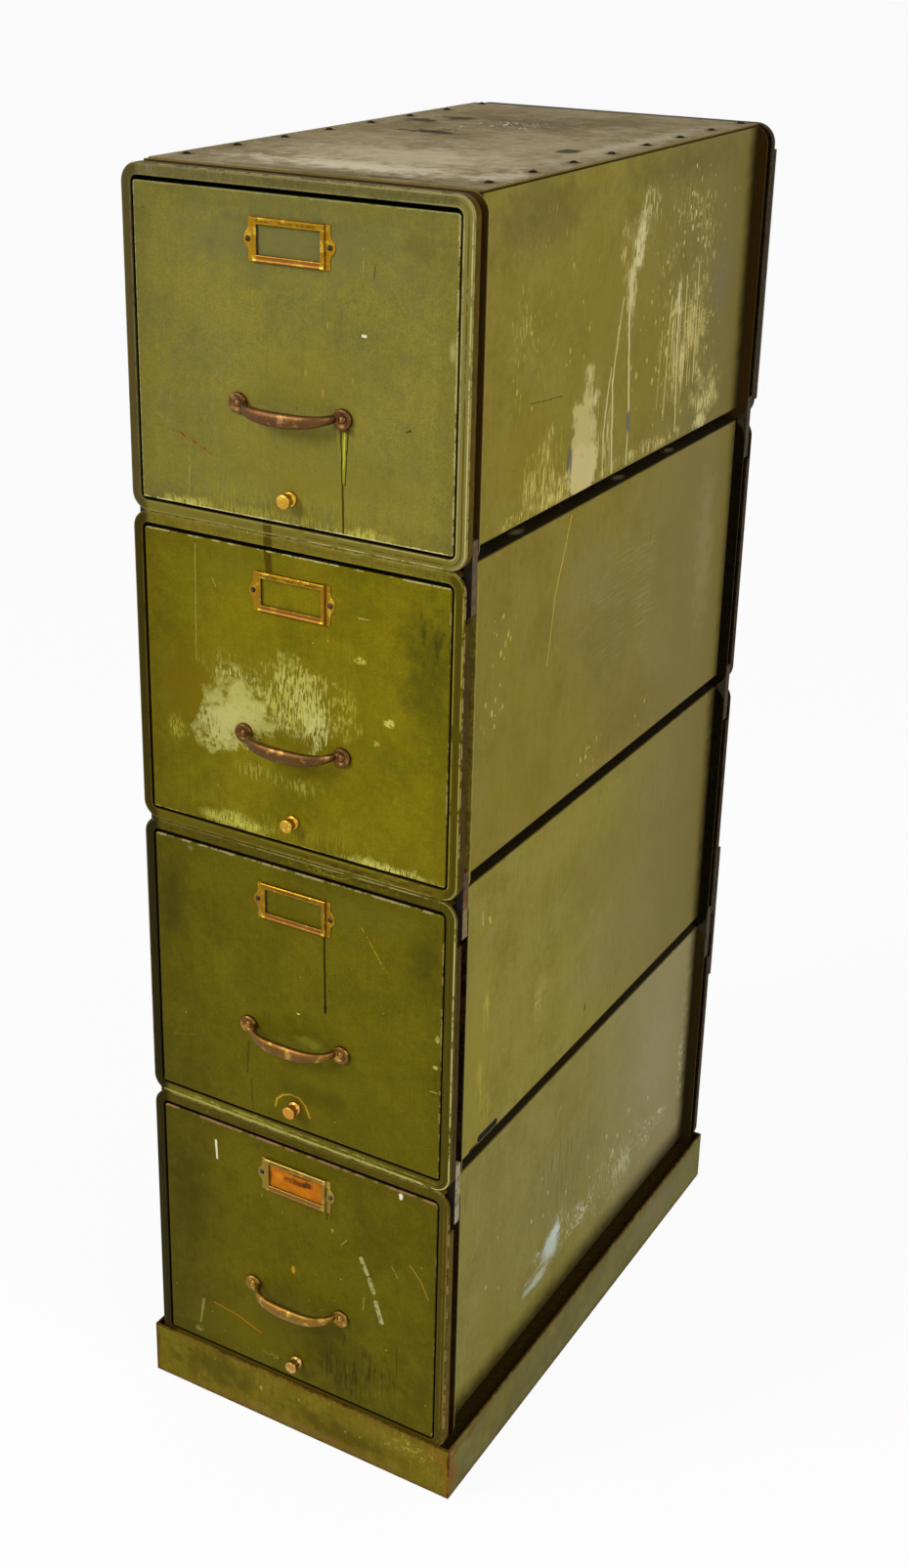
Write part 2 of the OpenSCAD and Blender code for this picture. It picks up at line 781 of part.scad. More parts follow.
module stack_clips() {
    channel_y = face_y + channel_front + clip_gap;
    rear_channel_y = case_rear_y + frame_t + clip_gap;
    color("darkkhaki") {
        for (n = [for (s = SECTIONS) if (s > 1) s]) both_sides() {
            translate([case_w / 2, channel_y, section_z(n) + section_h]) clip_bar(front_rim);
            translate([case_w / 2, rear_channel_y, section_z(n) + section_h]) clip_bar(rear_rim);
        }
        strap_x = case_w / 2 + rear_rim - frame_t - strap_w;
        strap_y = case_rear_y + frame_d;
        both_sides() {
            translate([strap_x, strap_y, section_z(1) + opening_r + rear_rim]) {
                cube([strap_w, strap_t, long_strap]);
            }
            translate([strap_x, strap_y, section_z(3) - strap_below]) {
                cube([strap_w, strap_t, short_strap]);
            }
        }
    }
}

// ---- the cabinet ----

base_plinth();
stack_clips();
top_rivets();
at_section(4) label_card();
for (n = SECTIONS) {
    at_section(n) case_shell();
    at_section(n) face_frame(n > 1);
    at_section(n) rear_frame(n > 1);
    at_section(n) back_panel();
    at_section(n) case_rails();
    at_section(n) drawer_front();
    at_section(n) drawer_tray();
    at_section(n) handle();
    at_section(n) label_holder();
    at_section(n) drawer_screws();
    at_section(n) slides();
    at_section(n) guide_rod();
    at_section(n) rod_knob();
    at_section(n) follower();
}
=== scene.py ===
"""Looks of a stacked steel letter-file cabinet: worn olive enamel, tarnished brass and bronze."""
import logging
import math
from collections.abc import Callable, Sequence
from dataclasses import dataclass
from enum import Enum
from functools import cache, partial, reduce
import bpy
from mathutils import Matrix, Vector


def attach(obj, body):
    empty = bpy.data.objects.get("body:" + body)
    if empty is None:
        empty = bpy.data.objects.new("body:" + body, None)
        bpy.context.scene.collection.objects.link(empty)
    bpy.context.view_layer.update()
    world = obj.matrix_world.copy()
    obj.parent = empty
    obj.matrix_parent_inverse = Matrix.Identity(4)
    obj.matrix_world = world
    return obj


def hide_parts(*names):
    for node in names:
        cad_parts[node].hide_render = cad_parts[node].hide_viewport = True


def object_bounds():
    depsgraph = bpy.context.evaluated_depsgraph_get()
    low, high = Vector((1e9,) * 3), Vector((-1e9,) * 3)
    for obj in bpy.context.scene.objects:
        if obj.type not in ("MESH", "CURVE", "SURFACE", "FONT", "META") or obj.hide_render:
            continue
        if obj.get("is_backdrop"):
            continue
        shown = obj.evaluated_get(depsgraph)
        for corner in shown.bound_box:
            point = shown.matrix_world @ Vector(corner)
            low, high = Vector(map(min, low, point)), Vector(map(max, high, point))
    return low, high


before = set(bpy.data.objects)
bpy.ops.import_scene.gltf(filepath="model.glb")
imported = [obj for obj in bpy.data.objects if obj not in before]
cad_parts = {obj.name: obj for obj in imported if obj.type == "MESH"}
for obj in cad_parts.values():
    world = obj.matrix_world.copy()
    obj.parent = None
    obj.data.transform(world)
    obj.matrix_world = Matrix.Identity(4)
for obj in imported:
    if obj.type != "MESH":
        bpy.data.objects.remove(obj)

from inspect import signature
from itertools import pairwise
from typing import Any, TypeAlias

import bpy
import numpy as np
from mathutils import Matrix, Vector

CAD_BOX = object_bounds()
LOG = logging.getLogger("letter_file")
MM = 0.001

# A screen colour is written as 0xRRGGBB; what a node input takes is a socket or a plain value.
Rgb: TypeAlias = int
Spot: TypeAlias = tuple[float, float]
Point: TypeAlias = tuple[float, float, float]
Socket: TypeAlias = bpy.types.NodeSocket
Material: TypeAlias = bpy.types.Material
Feed: TypeAlias = Any
Effect: TypeAlias = Callable[..., Socket]

# Levels of the stack, in millimetres, as the solids have them.
SECTIONS = (1, 2, 3, 4)
SECTION_H = 323.0
LEDGE_Z = 55.0
FACE_Y = -331.0
CASE_HALF_W = 173.0
CASE_HALF_D = 307.0
RING_HALF_W = 181.5

ORIGIN = (0.0, 0.0, 0.0)
ONES = (1.0, 1.0, 1.0)
IN_PLANE = (1.0, 1.0, 0.0)


def section_z(n: int) -> float:
    """Height of the foot of section n, counted from the top, in millimetres."""
    return LEDGE_Z + SECTION_H * (4 - n)


def middle_point(n: int, up: float = 0.0, y: float = 0.0) -> Point:
    """The point of the middle plane that lies up millimetres above the foot of section n."""
    return (0.0, y, section_z(n) + up)


def linear(rgb: Rgb) -> tuple[float, float, float, float]:
    """Turns a screen colour into the scene-linear colour that a shader takes, by the sRGB curve.

    Args:
        rgb: the screen colour, as 0xRRGGBB.

    Returns:
        The linear colour with an alpha of one.
    """
    share = np.array(list(rgb.to_bytes(3, "big"))) / 255.0
    value = np.where(share <= 0.04045, share / 12.92, ((share + 0.055) / 1.055) ** 2.4)
    return (*value.tolist(), 1.0)


def shade(rgb: Rgb, factor: float) -> Rgb:
    """A screen colour made darker or lighter by a factor."""
    return int.from_bytes([min(255, int(c * factor)) for c in rgb.to_bytes(3, "big")], "big")


# ---- node wiring


class Wiring:
    """Adds nodes to one node tree and wires them, one short call per node."""

    def __init__(self, tree: bpy.types.NodeTree) -> None:
        """Takes the node tree that everything is added to."""
        self.tree = tree

    @classmethod
    def fresh(cls, owner: Material | bpy.types.World) -> "Wiring":
        """Empties the nodes of a material or world.

        Args:
            owner: the material or world.

        Returns:
            The wiring of its empty tree.
        """
        owner.use_nodes = True
        owner.node_tree.nodes.clear()
        return cls(owner.node_tree)

    def add(self, kind: str, feeds: dict[str | int, Feed] | None = None, **settings: Any) -> bpy.types.Node:
        """Adds one node.

        Args:
            kind: the node's type after "ShaderNode".
            feeds: for each input, by name or number, a socket to link or a value to set.
            settings: the node's own properties.

        Returns:
            The new node.
        """
        node = self.tree.nodes.new("ShaderNode" + kind)
        for key, value in settings.items():
            setattr(node, key, value)
        for key, value in (feeds or {}).items():
            self.feed(node.inputs[key], value)
        return node

    def feed(self, socket: Socket, value: Feed) -> None:
        """Feeds one input.

        Args:
            socket: the input.
            value: a socket to link, or the value to set.
        """
        if isinstance(value, Socket):
            self.tree.links.new(value, socket)
        else:
            socket.default_value = value

    def calc(self, operation: str, *feeds: Feed, clamp: bool = False) -> Socket:
        """One Math node with the given operation and inputs."""
        return self.add("Math", dict(enumerate(feeds)), operation=operation, use_clamp=clamp).outputs[0]

    def times(self, first: Feed, *factors: Feed) -> Socket:
        """The product of all the numbers, with one Math node for each factor after the first."""
        return reduce(partial(self.calc, "MULTIPLY"), factors, first)

    def ramp(self, value: Feed, slope: Feed, offset: Feed) -> Socket:
        """A value times a slope, plus an offset."""
        return self.calc("MULTIPLY_ADD", value, slope, offset)

    def arrow(self, operation: str, *feeds: Feed) -> Socket:
        """One Vector Math node; a length or a dot product comes out as a number."""
        node = self.add("VectorMath", dict(enumerate(feeds)), operation=operation)
        return node.outputs["Value" if operation in ("LENGTH", "DOT_PRODUCT") else "Vector"]

    def part(self, vector: Socket, axis: str) -> Socket:
        """One component, X, Y or Z, of a vector."""
        return self.add("SeparateXYZ", {0: vector}).outputs[axis]

    def join(self, x: Feed, y: Feed, z: Feed) -> Socket:
        """A vector from three numbers."""
        return self.add("CombineXYZ", {0: x, 1: y, 2: z}).outputs[0]

    def fade(self, value: Feed, start: Feed, end: Feed, low: float = 0.0, high: float = 1.0) -> Socket:
        """A smooth step from low at start to high at end."""
        feeds = {0: value, 1: start, 2: end, 3: low, 4: high}
        return self.add("MapRange", feeds, interpolation_type="SMOOTHSTEP").outputs[0]

    def noise(self, where: Feed, size: Feed, detail: float = 2.0, rough: float = 0.55) -> Socket:
        """Soft noise of about 0.25 to 0.75.

        Args:
            where: the place that it is read at.
            size: about how wide its lumps are.
            detail: how many finer layers it has.
            rough: how strongly the finer layers show.

        Returns:
            The noise as a number.
        """
        scale = 1.0 / size if isinstance(size, (int, float)) else self.calc("DIVIDE", 1.0, size)
        feeds = {"Vector": where, "Scale": scale, "Detail": detail, "Roughness": rough}
        return self.add("TexNoise", feeds).outputs[0]

    def bend(self, where: Socket, size: float) -> Socket:
        """Coloured noise as a small vector that bends a pattern."""
        return self.add("TexNoise", {"Vector": where, "Scale": 1.0 / size, "Detail": 1.0}).outputs["Color"]

    def mix(self, share: Feed, first: Feed, second: Feed, blend: str = "MIX") -> Socket:
        """Mixes two colours.

        Args:
            share: how much of the second shows, 0 to 1.
            first: a screen colour, a linear colour or a socket.
            second: the same.
            blend: the Mix node's way of blending.

        Returns:
            The mixed colour.
        """
        pair = [linear(one) if isinstance(one, int) else one for one in (first, second)]
        node = self.add("Mix", {0: share, 6: pair[0], 7: pair[1]}, data_type="RGBA", blend_type=blend)
        return node.outputs[2]

    def scale(self, vector: Feed, factor: Feed) -> Socket:
        """A vector times a number."""
        return self.add("VectorMath", {0: vector, "Scale": factor}, operation="SCALE").outputs[0]


# ---- shared effects


def socket_kind(default: Feed) -> str:
    """The socket type that fits a default value: a number, a vector or a colour."""
    sizes = {0: "NodeSocketFloat", 3: "NodeSocketVector", 4: "NodeSocketColor"}
    return sizes[0 if isinstance(default, float) else len(default)]


def shared_effect(build: Effect) -> Effect:
    """Makes one node group from a wiring function, as its decorator.

    Args:
        build: wires the group's inside. Its arguments after the wiring are the group's inputs, and
            their defaults are the inputs' own values.

    Returns:
        A function that takes a wiring and named feeds, places the group and gives its one output.
    """
    inputs = {key: one.default for key, one in signature(build).parameters.items() if key != "w"}
    tree = bpy.data.node_groups.new(build.__name__.replace("_", " "), "ShaderNodeTree")
    for key, default in inputs.items():
        socket = tree.interface.new_socket(key, in_out="INPUT", socket_type=socket_kind(default))
        socket.default_value = default
    way_in = tree.nodes.new("NodeGroupInput")
    made = build(Wiring(tree), **{key: way_in.outputs[key] for key in inputs})
    result, kind = ("colour", "Color") if made.type == "RGBA" else ("mask", "Float")
    tree.interface.new_socket(result, in_out="OUTPUT", socket_type="NodeSocket" + kind)
    tree.links.new(made, tree.nodes.new("NodeGroupOutput").inputs[0])

    def place(w: Wiring, **feeds: Feed) -> Socket:
        """Places the group in a tree and feeds its inputs by name."""
        return w.add("Group", feeds, node_tree=tree).outputs[0]

    return place


@shared_effect
def outline_depth(w: Wiring, where: Feed = ORIGIN, centre: Feed = ORIGIN, half: Feed = ONES,
                  corner: Feed = 1.0) -> Socket:
    """Depth inside a rounded box: minus (length of the outside part + inside part - corner).

    Args:
        w: its wiring.
        where: the place.
        centre: the box's middle.
        half: half its size along each axis.
        corner: the radius of its rounded edges.

    Returns:
        The depth in millimetres, negative outside.
    """
    offset = w.arrow("ABSOLUTE", w.arrow("SUBTRACT", where, centre))
    past = w.arrow("ADD", w.arrow("SUBTRACT", offset, half), w.join(corner, corner, corner))
    outside = w.arrow("LENGTH", w.arrow("MAXIMUM", past, ORIGIN))
    largest = w.calc("MAXIMUM", w.part(past, "X"), w.calc("MAXIMUM", w.part(past, "Y"), w.part(past, "Z")))
    inside = w.calc("MINIMUM", largest, 0.0)
    return w.calc("SUBTRACT", corner, w.calc("ADD", outside, inside))


@shared_effect
def edge_depth(w: Wiring, where: Feed = ORIGIN, centre: Feed = ORIGIN, half: Feed = ONES) -> Socket:
    """Distance from a box's edges: the middle one of its three distances to the faces.

    Args:
        w: its wiring.
        where: the place.
        centre: the box's middle.
        half: half its size along each axis.

    Returns:
        The distance in millimetres.
    """
    offset = w.arrow("ABSOLUTE", w.arrow("SUBTRACT", where, centre))
    gap = w.arrow("SUBTRACT", half, offset)
    x, y, z = (w.part(gap, axis) for axis in "XYZ")
    return w.calc("MAXIMUM", w.calc("MINIMUM", x, y), w.calc("MINIMUM", w.calc("MAXIMUM", x, y), z))


@shared_effect
def worn_edge(w: Wiring, where: Feed = ORIGIN, depth: Feed = 1.0, width: Feed = 1.0,
              ragged: Feed = 0.5) -> Socket:
    """One near the edge and nought past the width, with a ragged border.

    Args:
        w: its wiring.
        where: the place that the border's noise is read at.
        depth: the distance from the edge.
        width: how far the wear reaches.
        ragged: how far the border wanders, as a share of twice the width.

    Returns:
        The mask.
    """
    wander = w.ramp(w.noise(where, 7.0, 3.0, 0.65), 4.0, -2.0)
    reach = w.ramp(w.times(wander, width), ragged, depth)
    return w.calc("SUBTRACT", 1.0, w.fade(reach, w.times(width, 0.3), width))


@shared_effect
def rubbed_line(w: Wiring, where: Feed = ORIGIN, depth: Feed = 1.0, width: Feed = 1.0,
                gaps: Feed = 0.4) -> Socket:
    """A rubbed edge: as wide as asked, wavering, and missing wherever a long noise is under the gaps.

    Args:
        w: its wiring.
        where: the place that the noises are read at.
        depth: the distance from the edge.
        width: how wide the line is.
        gaps: how much of it is missing, 0 to 1.

    Returns:
        The mask.
    """
    waver = w.ramp(w.noise(where, 5.0, 3.0, 0.7), 2.4, -1.2)
    reach = w.ramp(waver, width, depth)
    body = w.fade(reach, w.times(width, 0.5), w.times(width, 1.1), 1.0, 0.0)
    level = w.noise(where, 20.0, 4.0, 0.7)
    limit = w.ramp(gaps, 0.4, 0.27)
    return w.times(body, w.fade(level, limit, w.calc("ADD", limit, 0.08)))


@shared_effect
def mottled_coat(w: Wiring, where: Feed = ORIGIN, size: Feed = 60.0) -> Socket:
    """Broad soft patches of nought to one, with finer ones inside them.

    Args:
        w: its wiring.
        where: the place.
        size: how wide the broad patches are.

    Returns:
        The mask.
    """
    broad = w.noise(where, size, 3.0, 0.6)
    fine = w.noise(where, w.times(size, 0.16), 2.0, 0.6)
    return w.fade(w.ramp(fine, 0.35, w.times(broad, 0.65)), 0.34, 0.66)


@shared_effect
def specks(w: Wiring, where: Feed = ORIGIN, spacing: Feed = 9.0, size: Feed = 1.5,
           share: Feed = 0.1) -> Socket:
    """Small ragged flecks: cells of a lattice, of which only a share holds a fleck.

    Args:
        w: its wiring.
        where: the place.
        spacing: how wide a cell is.
        size: the largest fleck's radius.
        share: how many of the cells hold one, 0 to 1.

    Returns:
        The mask.
    """
    bent = w.arrow("ADD", where, w.scale(w.bend(where, 2.5), 2.0))
    cells = w.add("TexVoronoi", {"Vector": bent, "Scale": w.calc("DIVIDE", 1.0, spacing)})
    chosen = w.calc("LESS_THAN", w.part(cells.outputs["Color"], "X"), share)
    radius = w.times(w.calc("DIVIDE", size, spacing), w.ramp(w.part(cells.outputs["Color"], "Y"), 0.8, 0.2))
    body = w.fade(cells.outputs["Distance"], w.times(radius, 0.6), radius, 1.0, 0.0)
    return w.times(body, chosen)


@shared_effect
def streak_level(w: Wiring, where: Feed = ORIGIN, stretch: Feed = ONES) -> Socket:
    """Height of long thin marks: a stretched noise, with a broad one added.

    Args:
        w: its wiring.
        where: the place.
        stretch: how long the marks are along each axis.

    Returns:
        The height, which cut_level turns into a mask.
    """
    fine = w.noise(w.arrow("DIVIDE", where, stretch), 1.0, 3.0, 0.6)
    patchy = w.noise(where, 55.0, 1.0)
    return w.ramp(patchy, 0.35, w.ramp(fine, 1.0, -0.175))


@shared_effect
def cut_level(w: Wiring, level: Feed = 0.5, share: Feed = 0.3, edge: Feed = 0.13) -> Socket:
    """The places where a level stands above the limit for the share, with a border as soft as the edge."""
    limit = w.calc("SUBTRACT", 0.78, w.times(share, 0.4))
    return w.fade(level, limit, w.calc("ADD", limit, edge))


@shared_effect
def line_mark(w: Wiring, where: Feed = ORIGIN, bend: Feed = ORIGIN, holes: Feed = 0.5, start: Feed = ORIGIN,
              finish: Feed = ORIGIN, width: Feed = 1.0, taper: Feed = 0.0, wobble: Feed = 1.0,
              breaks: Feed = 0.3) -> Socket:
    """A scratch or run: distance to a segment, thinned along it, wobbled and broken by noise.

    Args:
        w: its wiring.
        where: the place on the face.
        bend: the noise that makes it wobble.
        holes: the noise that breaks it.
        start: the segment's first end.
        finish: its last end.
        width: how wide it starts.
        taper: how much of the width is gone at its finish, 0 to 1.
        wobble: how far it strays, in millimetres.
        breaks: how much of it is missing, 0 to 1.

    Returns:
        The mask.
    """
    place = w.arrow("ADD", w.arrow("MULTIPLY", where, IN_PLANE), w.scale(bend, wobble))
    away = w.arrow("SUBTRACT", place, start)
    along = w.arrow("SUBTRACT", finish, start)
    square = w.calc("MAXIMUM", w.arrow("DOT_PRODUCT", along, along), 0.001)
    share = w.calc("DIVIDE", w.arrow("DOT_PRODUCT", away, along), square, clamp=True)
    rest = w.arrow("SUBTRACT", away, w.scale(along, share))
    gap = w.arrow("LENGTH", w.arrow("MULTIPLY", rest, IN_PLANE))
    half = w.times(width, w.ramp(w.times(share, taper), -0.5, 0.5))
    body = w.fade(gap, w.times(half, 0.7), w.times(half, 1.2), 1.0, 0.0)
    limit = w.ramp(breaks, 0.36, 0.25)
    return w.times(body, w.fade(holes, limit, w.calc("ADD", limit, 0.07)))


@shared_effect
def patch_mark(w: Wiring, where: Feed = ORIGIN, cloud: Feed = 0.5, centre: Feed = ORIGIN, radii: Feed = ONES,
               ragged: Feed = 0.5, soft: Feed = 0.5) -> Socket:
    """A stain: distance from an ellipse's centre in its own radii, with a ragged soft border.

    Args:
        w: its wiring.
        where: the place on the face.
        cloud: the noise that makes the border ragged.
        centre: the ellipse's middle.
        radii: its radii.
        ragged: how far the border wanders.
        soft: how much of the radius fades out, 0 to 1.

    Returns:
        The mask.
    """
    away = w.arrow("MULTIPLY", w.arrow("SUBTRACT", where, centre), IN_PLANE)
    reach = w.arrow("LENGTH", w.arrow("DIVIDE", away, radii))
    wander = w.times(w.calc("SUBTRACT", cloud, 0.5), ragged)
    return w.fade(w.ramp(wander, 2.4, reach), w.calc("SUBTRACT", 1.0, soft), 1.0, 1.0, 0.0)


@shared_effect
def rust_colour(w: Wiring, where: Feed = ORIGIN, size: Feed = 8.0,
                bright: Feed = linear(0x96581E)) -> Socket:
    """Rust from near black through brown to bright, by noise of two sizes.

    Args:
        w: its wiring.
        where: the place.
        size: how wide its patches are.
        bright: its lightest colour.

    Returns:
        The colour.
    """
    level = w.ramp(w.noise(where, size, 4.0, 0.7), 0.7, w.times(w.noise(where, 1.5, 2.0), 0.3))
    brown = w.mix(w.fade(level, 0.36, 0.52), 0x1A1208, 0x543414)
    return w.mix(w.fade(level, 0.52, 0.68), brown, bright)


# ---- marks on a surface


class Plane(Enum):
    """The flat face that marks lie on, by the two axes that they are counted along."""

    FRONT = "XZ"
    SIDE = "YZ"
    TOP = "XY"


class Ground:
    """A flat face's place vector, with the noises that its marks share."""

    def __init__(self, w: Wiring, flat: Socket) -> None:
        """Makes the noises that every mark on the face uses.

        Args:
            w: the material's wiring.
            flat: the place along the face's two axes.
        """
        self.w = w
        self.flat = flat
        self.cloud = w.noise(flat, 18.0, 4.0, 0.65)
        self.bend = w.arrow("SUBTRACT", w.bend(flat, 16.0), (0.5, 0.5, 0.5))
        self.holes = w.noise(flat, 4.0, 3.0, 0.7)
        self.upright = w.arrow("MULTIPLY", flat, (1.0, 0.5, 1.0))

    @cache
    def level(self, wide: float, tall: float) -> Socket:
        """Heights of streaks of one width and length, made once."""
        return streak_level(self.w, where=self.flat, stretch=(wide, tall, 9.0))

    def streaked(self, wide: float, tall: float, share: float, edge: float) -> Socket:
        """Streaks or flakes of one width and length over a share of the face, with soft edges."""
        return cut_level(self.w, level=self.level(wide, tall), share=share, edge=edge)

    @cache
    def flecked(self, size: float, spacing: float, share: float) -> Socket:
        """Separate flecks of one size and spacing, made once."""
        return specks(self.w, where=self.upright, spacing=spacing, size=size, share=share)


class Fill(Enum):
    """What a stained patch is made of."""

    SOLID = "solid"
    STREAKS = "streaks"
    FLAKES = "flakes"
    FLECKS = "flecks"


STREAK_EDGES = {Fill.STREAKS: 0.13, Fill.FLAKES: 0.045}


@dataclass(frozen=True)
class Line:
    """A scratch, run or chip row on a flat face, in the face's own millimetres."""

    start: Spot
    finish: Spot
    width: float
    colour: Rgb
    strength: float = 1.0
    taper: float = 0.0
    wobble: float = 1.0
    breaks: float = 0.3

    def mask(self, ground: Ground) -> Socket:
        """Finds where the line lies.

        Args:
            ground: the face.

        Returns:
            The mask.
        """
        body = line_mark(ground.w, where=ground.flat, bend=ground.bend, holes=ground.holes,
                         start=(*self.start, 0.0), finish=(*self.finish, 0.0), width=self.width,
                         taper=self.taper, wobble=self.wobble, breaks=self.breaks)
        return ground.w.times(body, self.strength)


@dataclass(frozen=True)
class Patch:
    """A stained, rubbed or speckled place on a flat face, in the face's own millimetres."""

    centre: Spot
    radii: Spot
    colour: Rgb
    strength: float = 1.0
    ragged: float = 0.6
    soft: float = 0.6
    fill: Fill = Fill.SOLID
    grain: Point = ONES

    def mask(self, ground: Ground) -> Socket:
        """Finds where the patch lies.

        Args:
            ground: the face.

        Returns:
            The mask.
        """
        w = ground.w
        body = patch_mark(w, where=ground.flat, cloud=ground.cloud, centre=(*self.centre, 0.0),
                          radii=(*self.radii, 1.0), ragged=self.ragged, soft=self.soft)
        if self.fill is Fill.FLECKS:
            body = w.times(body, ground.flecked(*self.grain))
        elif self.fill is not Fill.SOLID:
            body = w.times(body, ground.streaked(*self.grain, STREAK_EDGES[self.fill]))
        return w.times(body, self.strength)


Mark: TypeAlias = Line | Patch


# ---- finishes


class Coat:
    """A material under construction: its place vectors, its colour so far and its roughness."""

    def __init__(self, name: str, base: Rgb, roughness: float, origin: Point = ORIGIN) -> None:
        """Starts a material.

        Args:
            name: the material's name.
            base: its first colour.
            roughness: its first roughness.
            origin: the point that places are counted from, in millimetres.
        """
        self.material = bpy.data.materials.new(name)
        self.w = Wiring.fresh(self.material)
        metre = 1.0 / MM
        self.world = self.w.arrow("MULTIPLY", self.w.add("TexCoord").outputs["Object"], (metre, metre, metre))
        self.where = self.w.arrow("SUBTRACT", self.world, origin)
        self.colour: Feed = linear(base)
        self.rough: Feed = roughness
        self.metal: Feed = 0.0
        self.height: Feed = None

    def axis(self, name: str) -> Socket:
        """The place along X, Y or Z from the origin, in millimetres."""
        return self.w.part(self.where, name)

    def axes(self, names: str) -> list[Socket]:
        """The places along several axes, such as "XZ"."""
        return [self.axis(name) for name in names]

    @cache
    def ground(self, plane: Plane) -> Ground:
        """The face that marks on a plane lie on, made once."""
        return Ground(self.w, self.w.join(*self.axes(plane.value), 0.0))

    def between(self, value: Feed, start: float, end: float, soft: float = 1.0) -> Socket:
        """One where the value lies between start and end, with soft borders inside them."""
        rise = self.w.fade(value, start, start + soft)
        return self.w.times(rise, self.w.fade(value, end - soft, end, 1.0, 0.0))

    def use(self, effect: Effect, **feeds: Feed) -> Socket:
        """Places a shared effect that is read at the place on the whole object."""
        return effect(self.w, where=self.world, **feeds)

    def rubbed(self, depth: Feed, width: float, gaps: float) -> Socket:
        """A rubbed line of a width at depth nought, with gaps."""
        return self.use(rubbed_line, depth=depth, width=width, gaps=gaps)

    def rust(self, size: float, bright: Rgb) -> Socket:
        """Rust with patches of a size, up to a bright colour."""
        return self.use(rust_colour, size=size, bright=linear(bright))

    def lay(self, mask: Feed, colour: Feed, roughness: float | None = None,
            metal: float | None = None) -> None:
        """Puts a colour on top where the mask is, with its own roughness and metal.

        Args:
            mask: where, and how thickly.
            colour: a screen colour, or a socket that gives one.
            roughness: the new layer's roughness.
            metal: one where the new layer is bare metal.
        """
        self.colour = self.w.mix(mask, self.colour, colour)
        if roughness is not None:
            self.rough = self._blend(mask, self.rough, roughness)
        if metal is not None:
            self.metal = self._blend(mask, self.metal, metal)

    def _blend(self, mask: Feed, first: Feed, second: float) -> Socket:
        """A number that goes from first to second by the mask."""
        return self.w.add("Mix", {0: mask, 2: first, 3: second}, data_type="FLOAT").outputs[0]

    def tint(self, value: Feed, dark: float, light: float) -> None:
        """Multiplies the colour by a grey that goes from dark to light with the value."""
        grey = self.w.fade(value, 0.0, 1.0, dark, light)
        self.colour = self.w.mix(1.0, self.colour, self.w.join(grey, grey, grey), "MULTIPLY")

    def grain(self, level: Feed, dark: float, light: float) -> None:
        """Tints by a noise, whose levels from 0.3 to 0.7 go from dark to light."""
        self.tint(self.w.fade(level, 0.3, 0.7), dark, light)

    def raise_by(self, mask: Feed, amount: float) -> None:
        """Adds to the height that makes the bump, in millimetres."""
        step = self.w.times(mask, amount * MM)
        self.height = step if self.height is None else self.w.calc("ADD", self.height, step)

    def mark(self, marks: Sequence[Mark], plane: Plane, gate: Feed = None, roughness: float = 0.6) -> None:
        """Lays each mark in turn.

        Args:
            marks: the marks, the lowest first.
            plane: the plane that they lie on.
            gate: a mask outside which they don't show.
            roughness: their roughness.
        """
        ground = self.ground(plane)
        for one in marks:
            mask = one.mask(ground)
            if gate is not None:
                mask = self.w.times(mask, gate)
            self.lay(mask, one.colour, roughness)

    def finish(self, specular: float = 0.5, tint: Point = ONES) -> Material:
        """Wires the shader.

        Args:
            specular: the shader's specular level.
            tint: the colour of its straight reflections.

        Returns:
            The finished material.
        """
        feeds = {"Base Color": self.colour, "Roughness": self.rough, "Metallic": self.metal,
                 "Specular IOR Level": specular, "Specular Tint": (*tint, 1.0)}
        if self.height is not None:
            bump = {"Height": self.height, "Strength": 1.0, "Distance": 1.0}
            feeds["Normal"] = self.w.add("Bump", bump).outputs[0]
        shader = self.w.add("BsdfPrincipled", feeds)
        self.w.add("OutputMaterial", {"Surface": shader.outputs[0]})
        return self.material

    def enamelled(self, specular: float = 0.05) -> Material:
        """The finished material, with the weak warm reflections of old enamel."""
        return self.finish(specular, (1.0, 0.9, 0.4))


@dataclass(frozen=True)
class Enamel:
    """Old olive enamel: its tones, its flecks and how its coat has weathered."""

    base: Rgb
    deep: Rgb
    sunned: Rgb
    patch_size: float = 90.0
    fleck: Rgb = 0xC4AA50
    fleck_share: float = 0.05
    run: Rgb = 0x463E14
    run_share: float = 0.1
    roughness: float = 0.5
    wave: float = 1.2
    brushed: float = 0.06
    pit: Rgb = 0x322A0C

    def start(self, name: str, origin: Point = ORIGIN) -> Coat:
        """Lays the weathered coat without its local marks.

        Args:
            name: the material's name.
            origin: the point that places are counted from.

        Returns:
            The coat, ready for marks.
        """
        coat = Coat(name, self.base, self.roughness, origin)
        w = coat.w
        coat.lay(coat.use(mottled_coat, size=self.patch_size), self.deep)
        elsewhere = w.arrow("ADD", coat.world, (311.0, 77.0, 159.0))
        coat.lay(mottled_coat(w, where=elsewhere, size=self.patch_size * 0.6), self.sunned)
        coat.grain(w.noise(coat.world, 1.3, 2.0), 0.88, 1.12)
        brushed = w.noise(w.arrow("DIVIDE", coat.world, (2.5, 2.5, 70.0)), 1.0, 3.0, 0.6)
        coat.grain(brushed, 1.0 - self.brushed, 1.0 + self.brushed)
        level = coat.use(streak_level, stretch=(3.0, 3.0, 60.0))
        coat.lay(w.times(cut_level(w, level=level, share=self.run_share), 0.5), self.run)
        coat.lay(coat.use(specks, spacing=8.0, size=1.1, share=self.fleck_share), self.fleck, 0.6)
        pits = specks(w, where=elsewhere, spacing=11.0, size=1.0, share=0.08)
        coat.lay(w.times(pits, 0.8), self.pit, 0.7)
        coat.raise_by(w.noise(coat.world, 1.0, 1.0), 0.012)
        coat.raise_by(w.noise(coat.world, 120.0, 1.0), self.wave)
        return coat


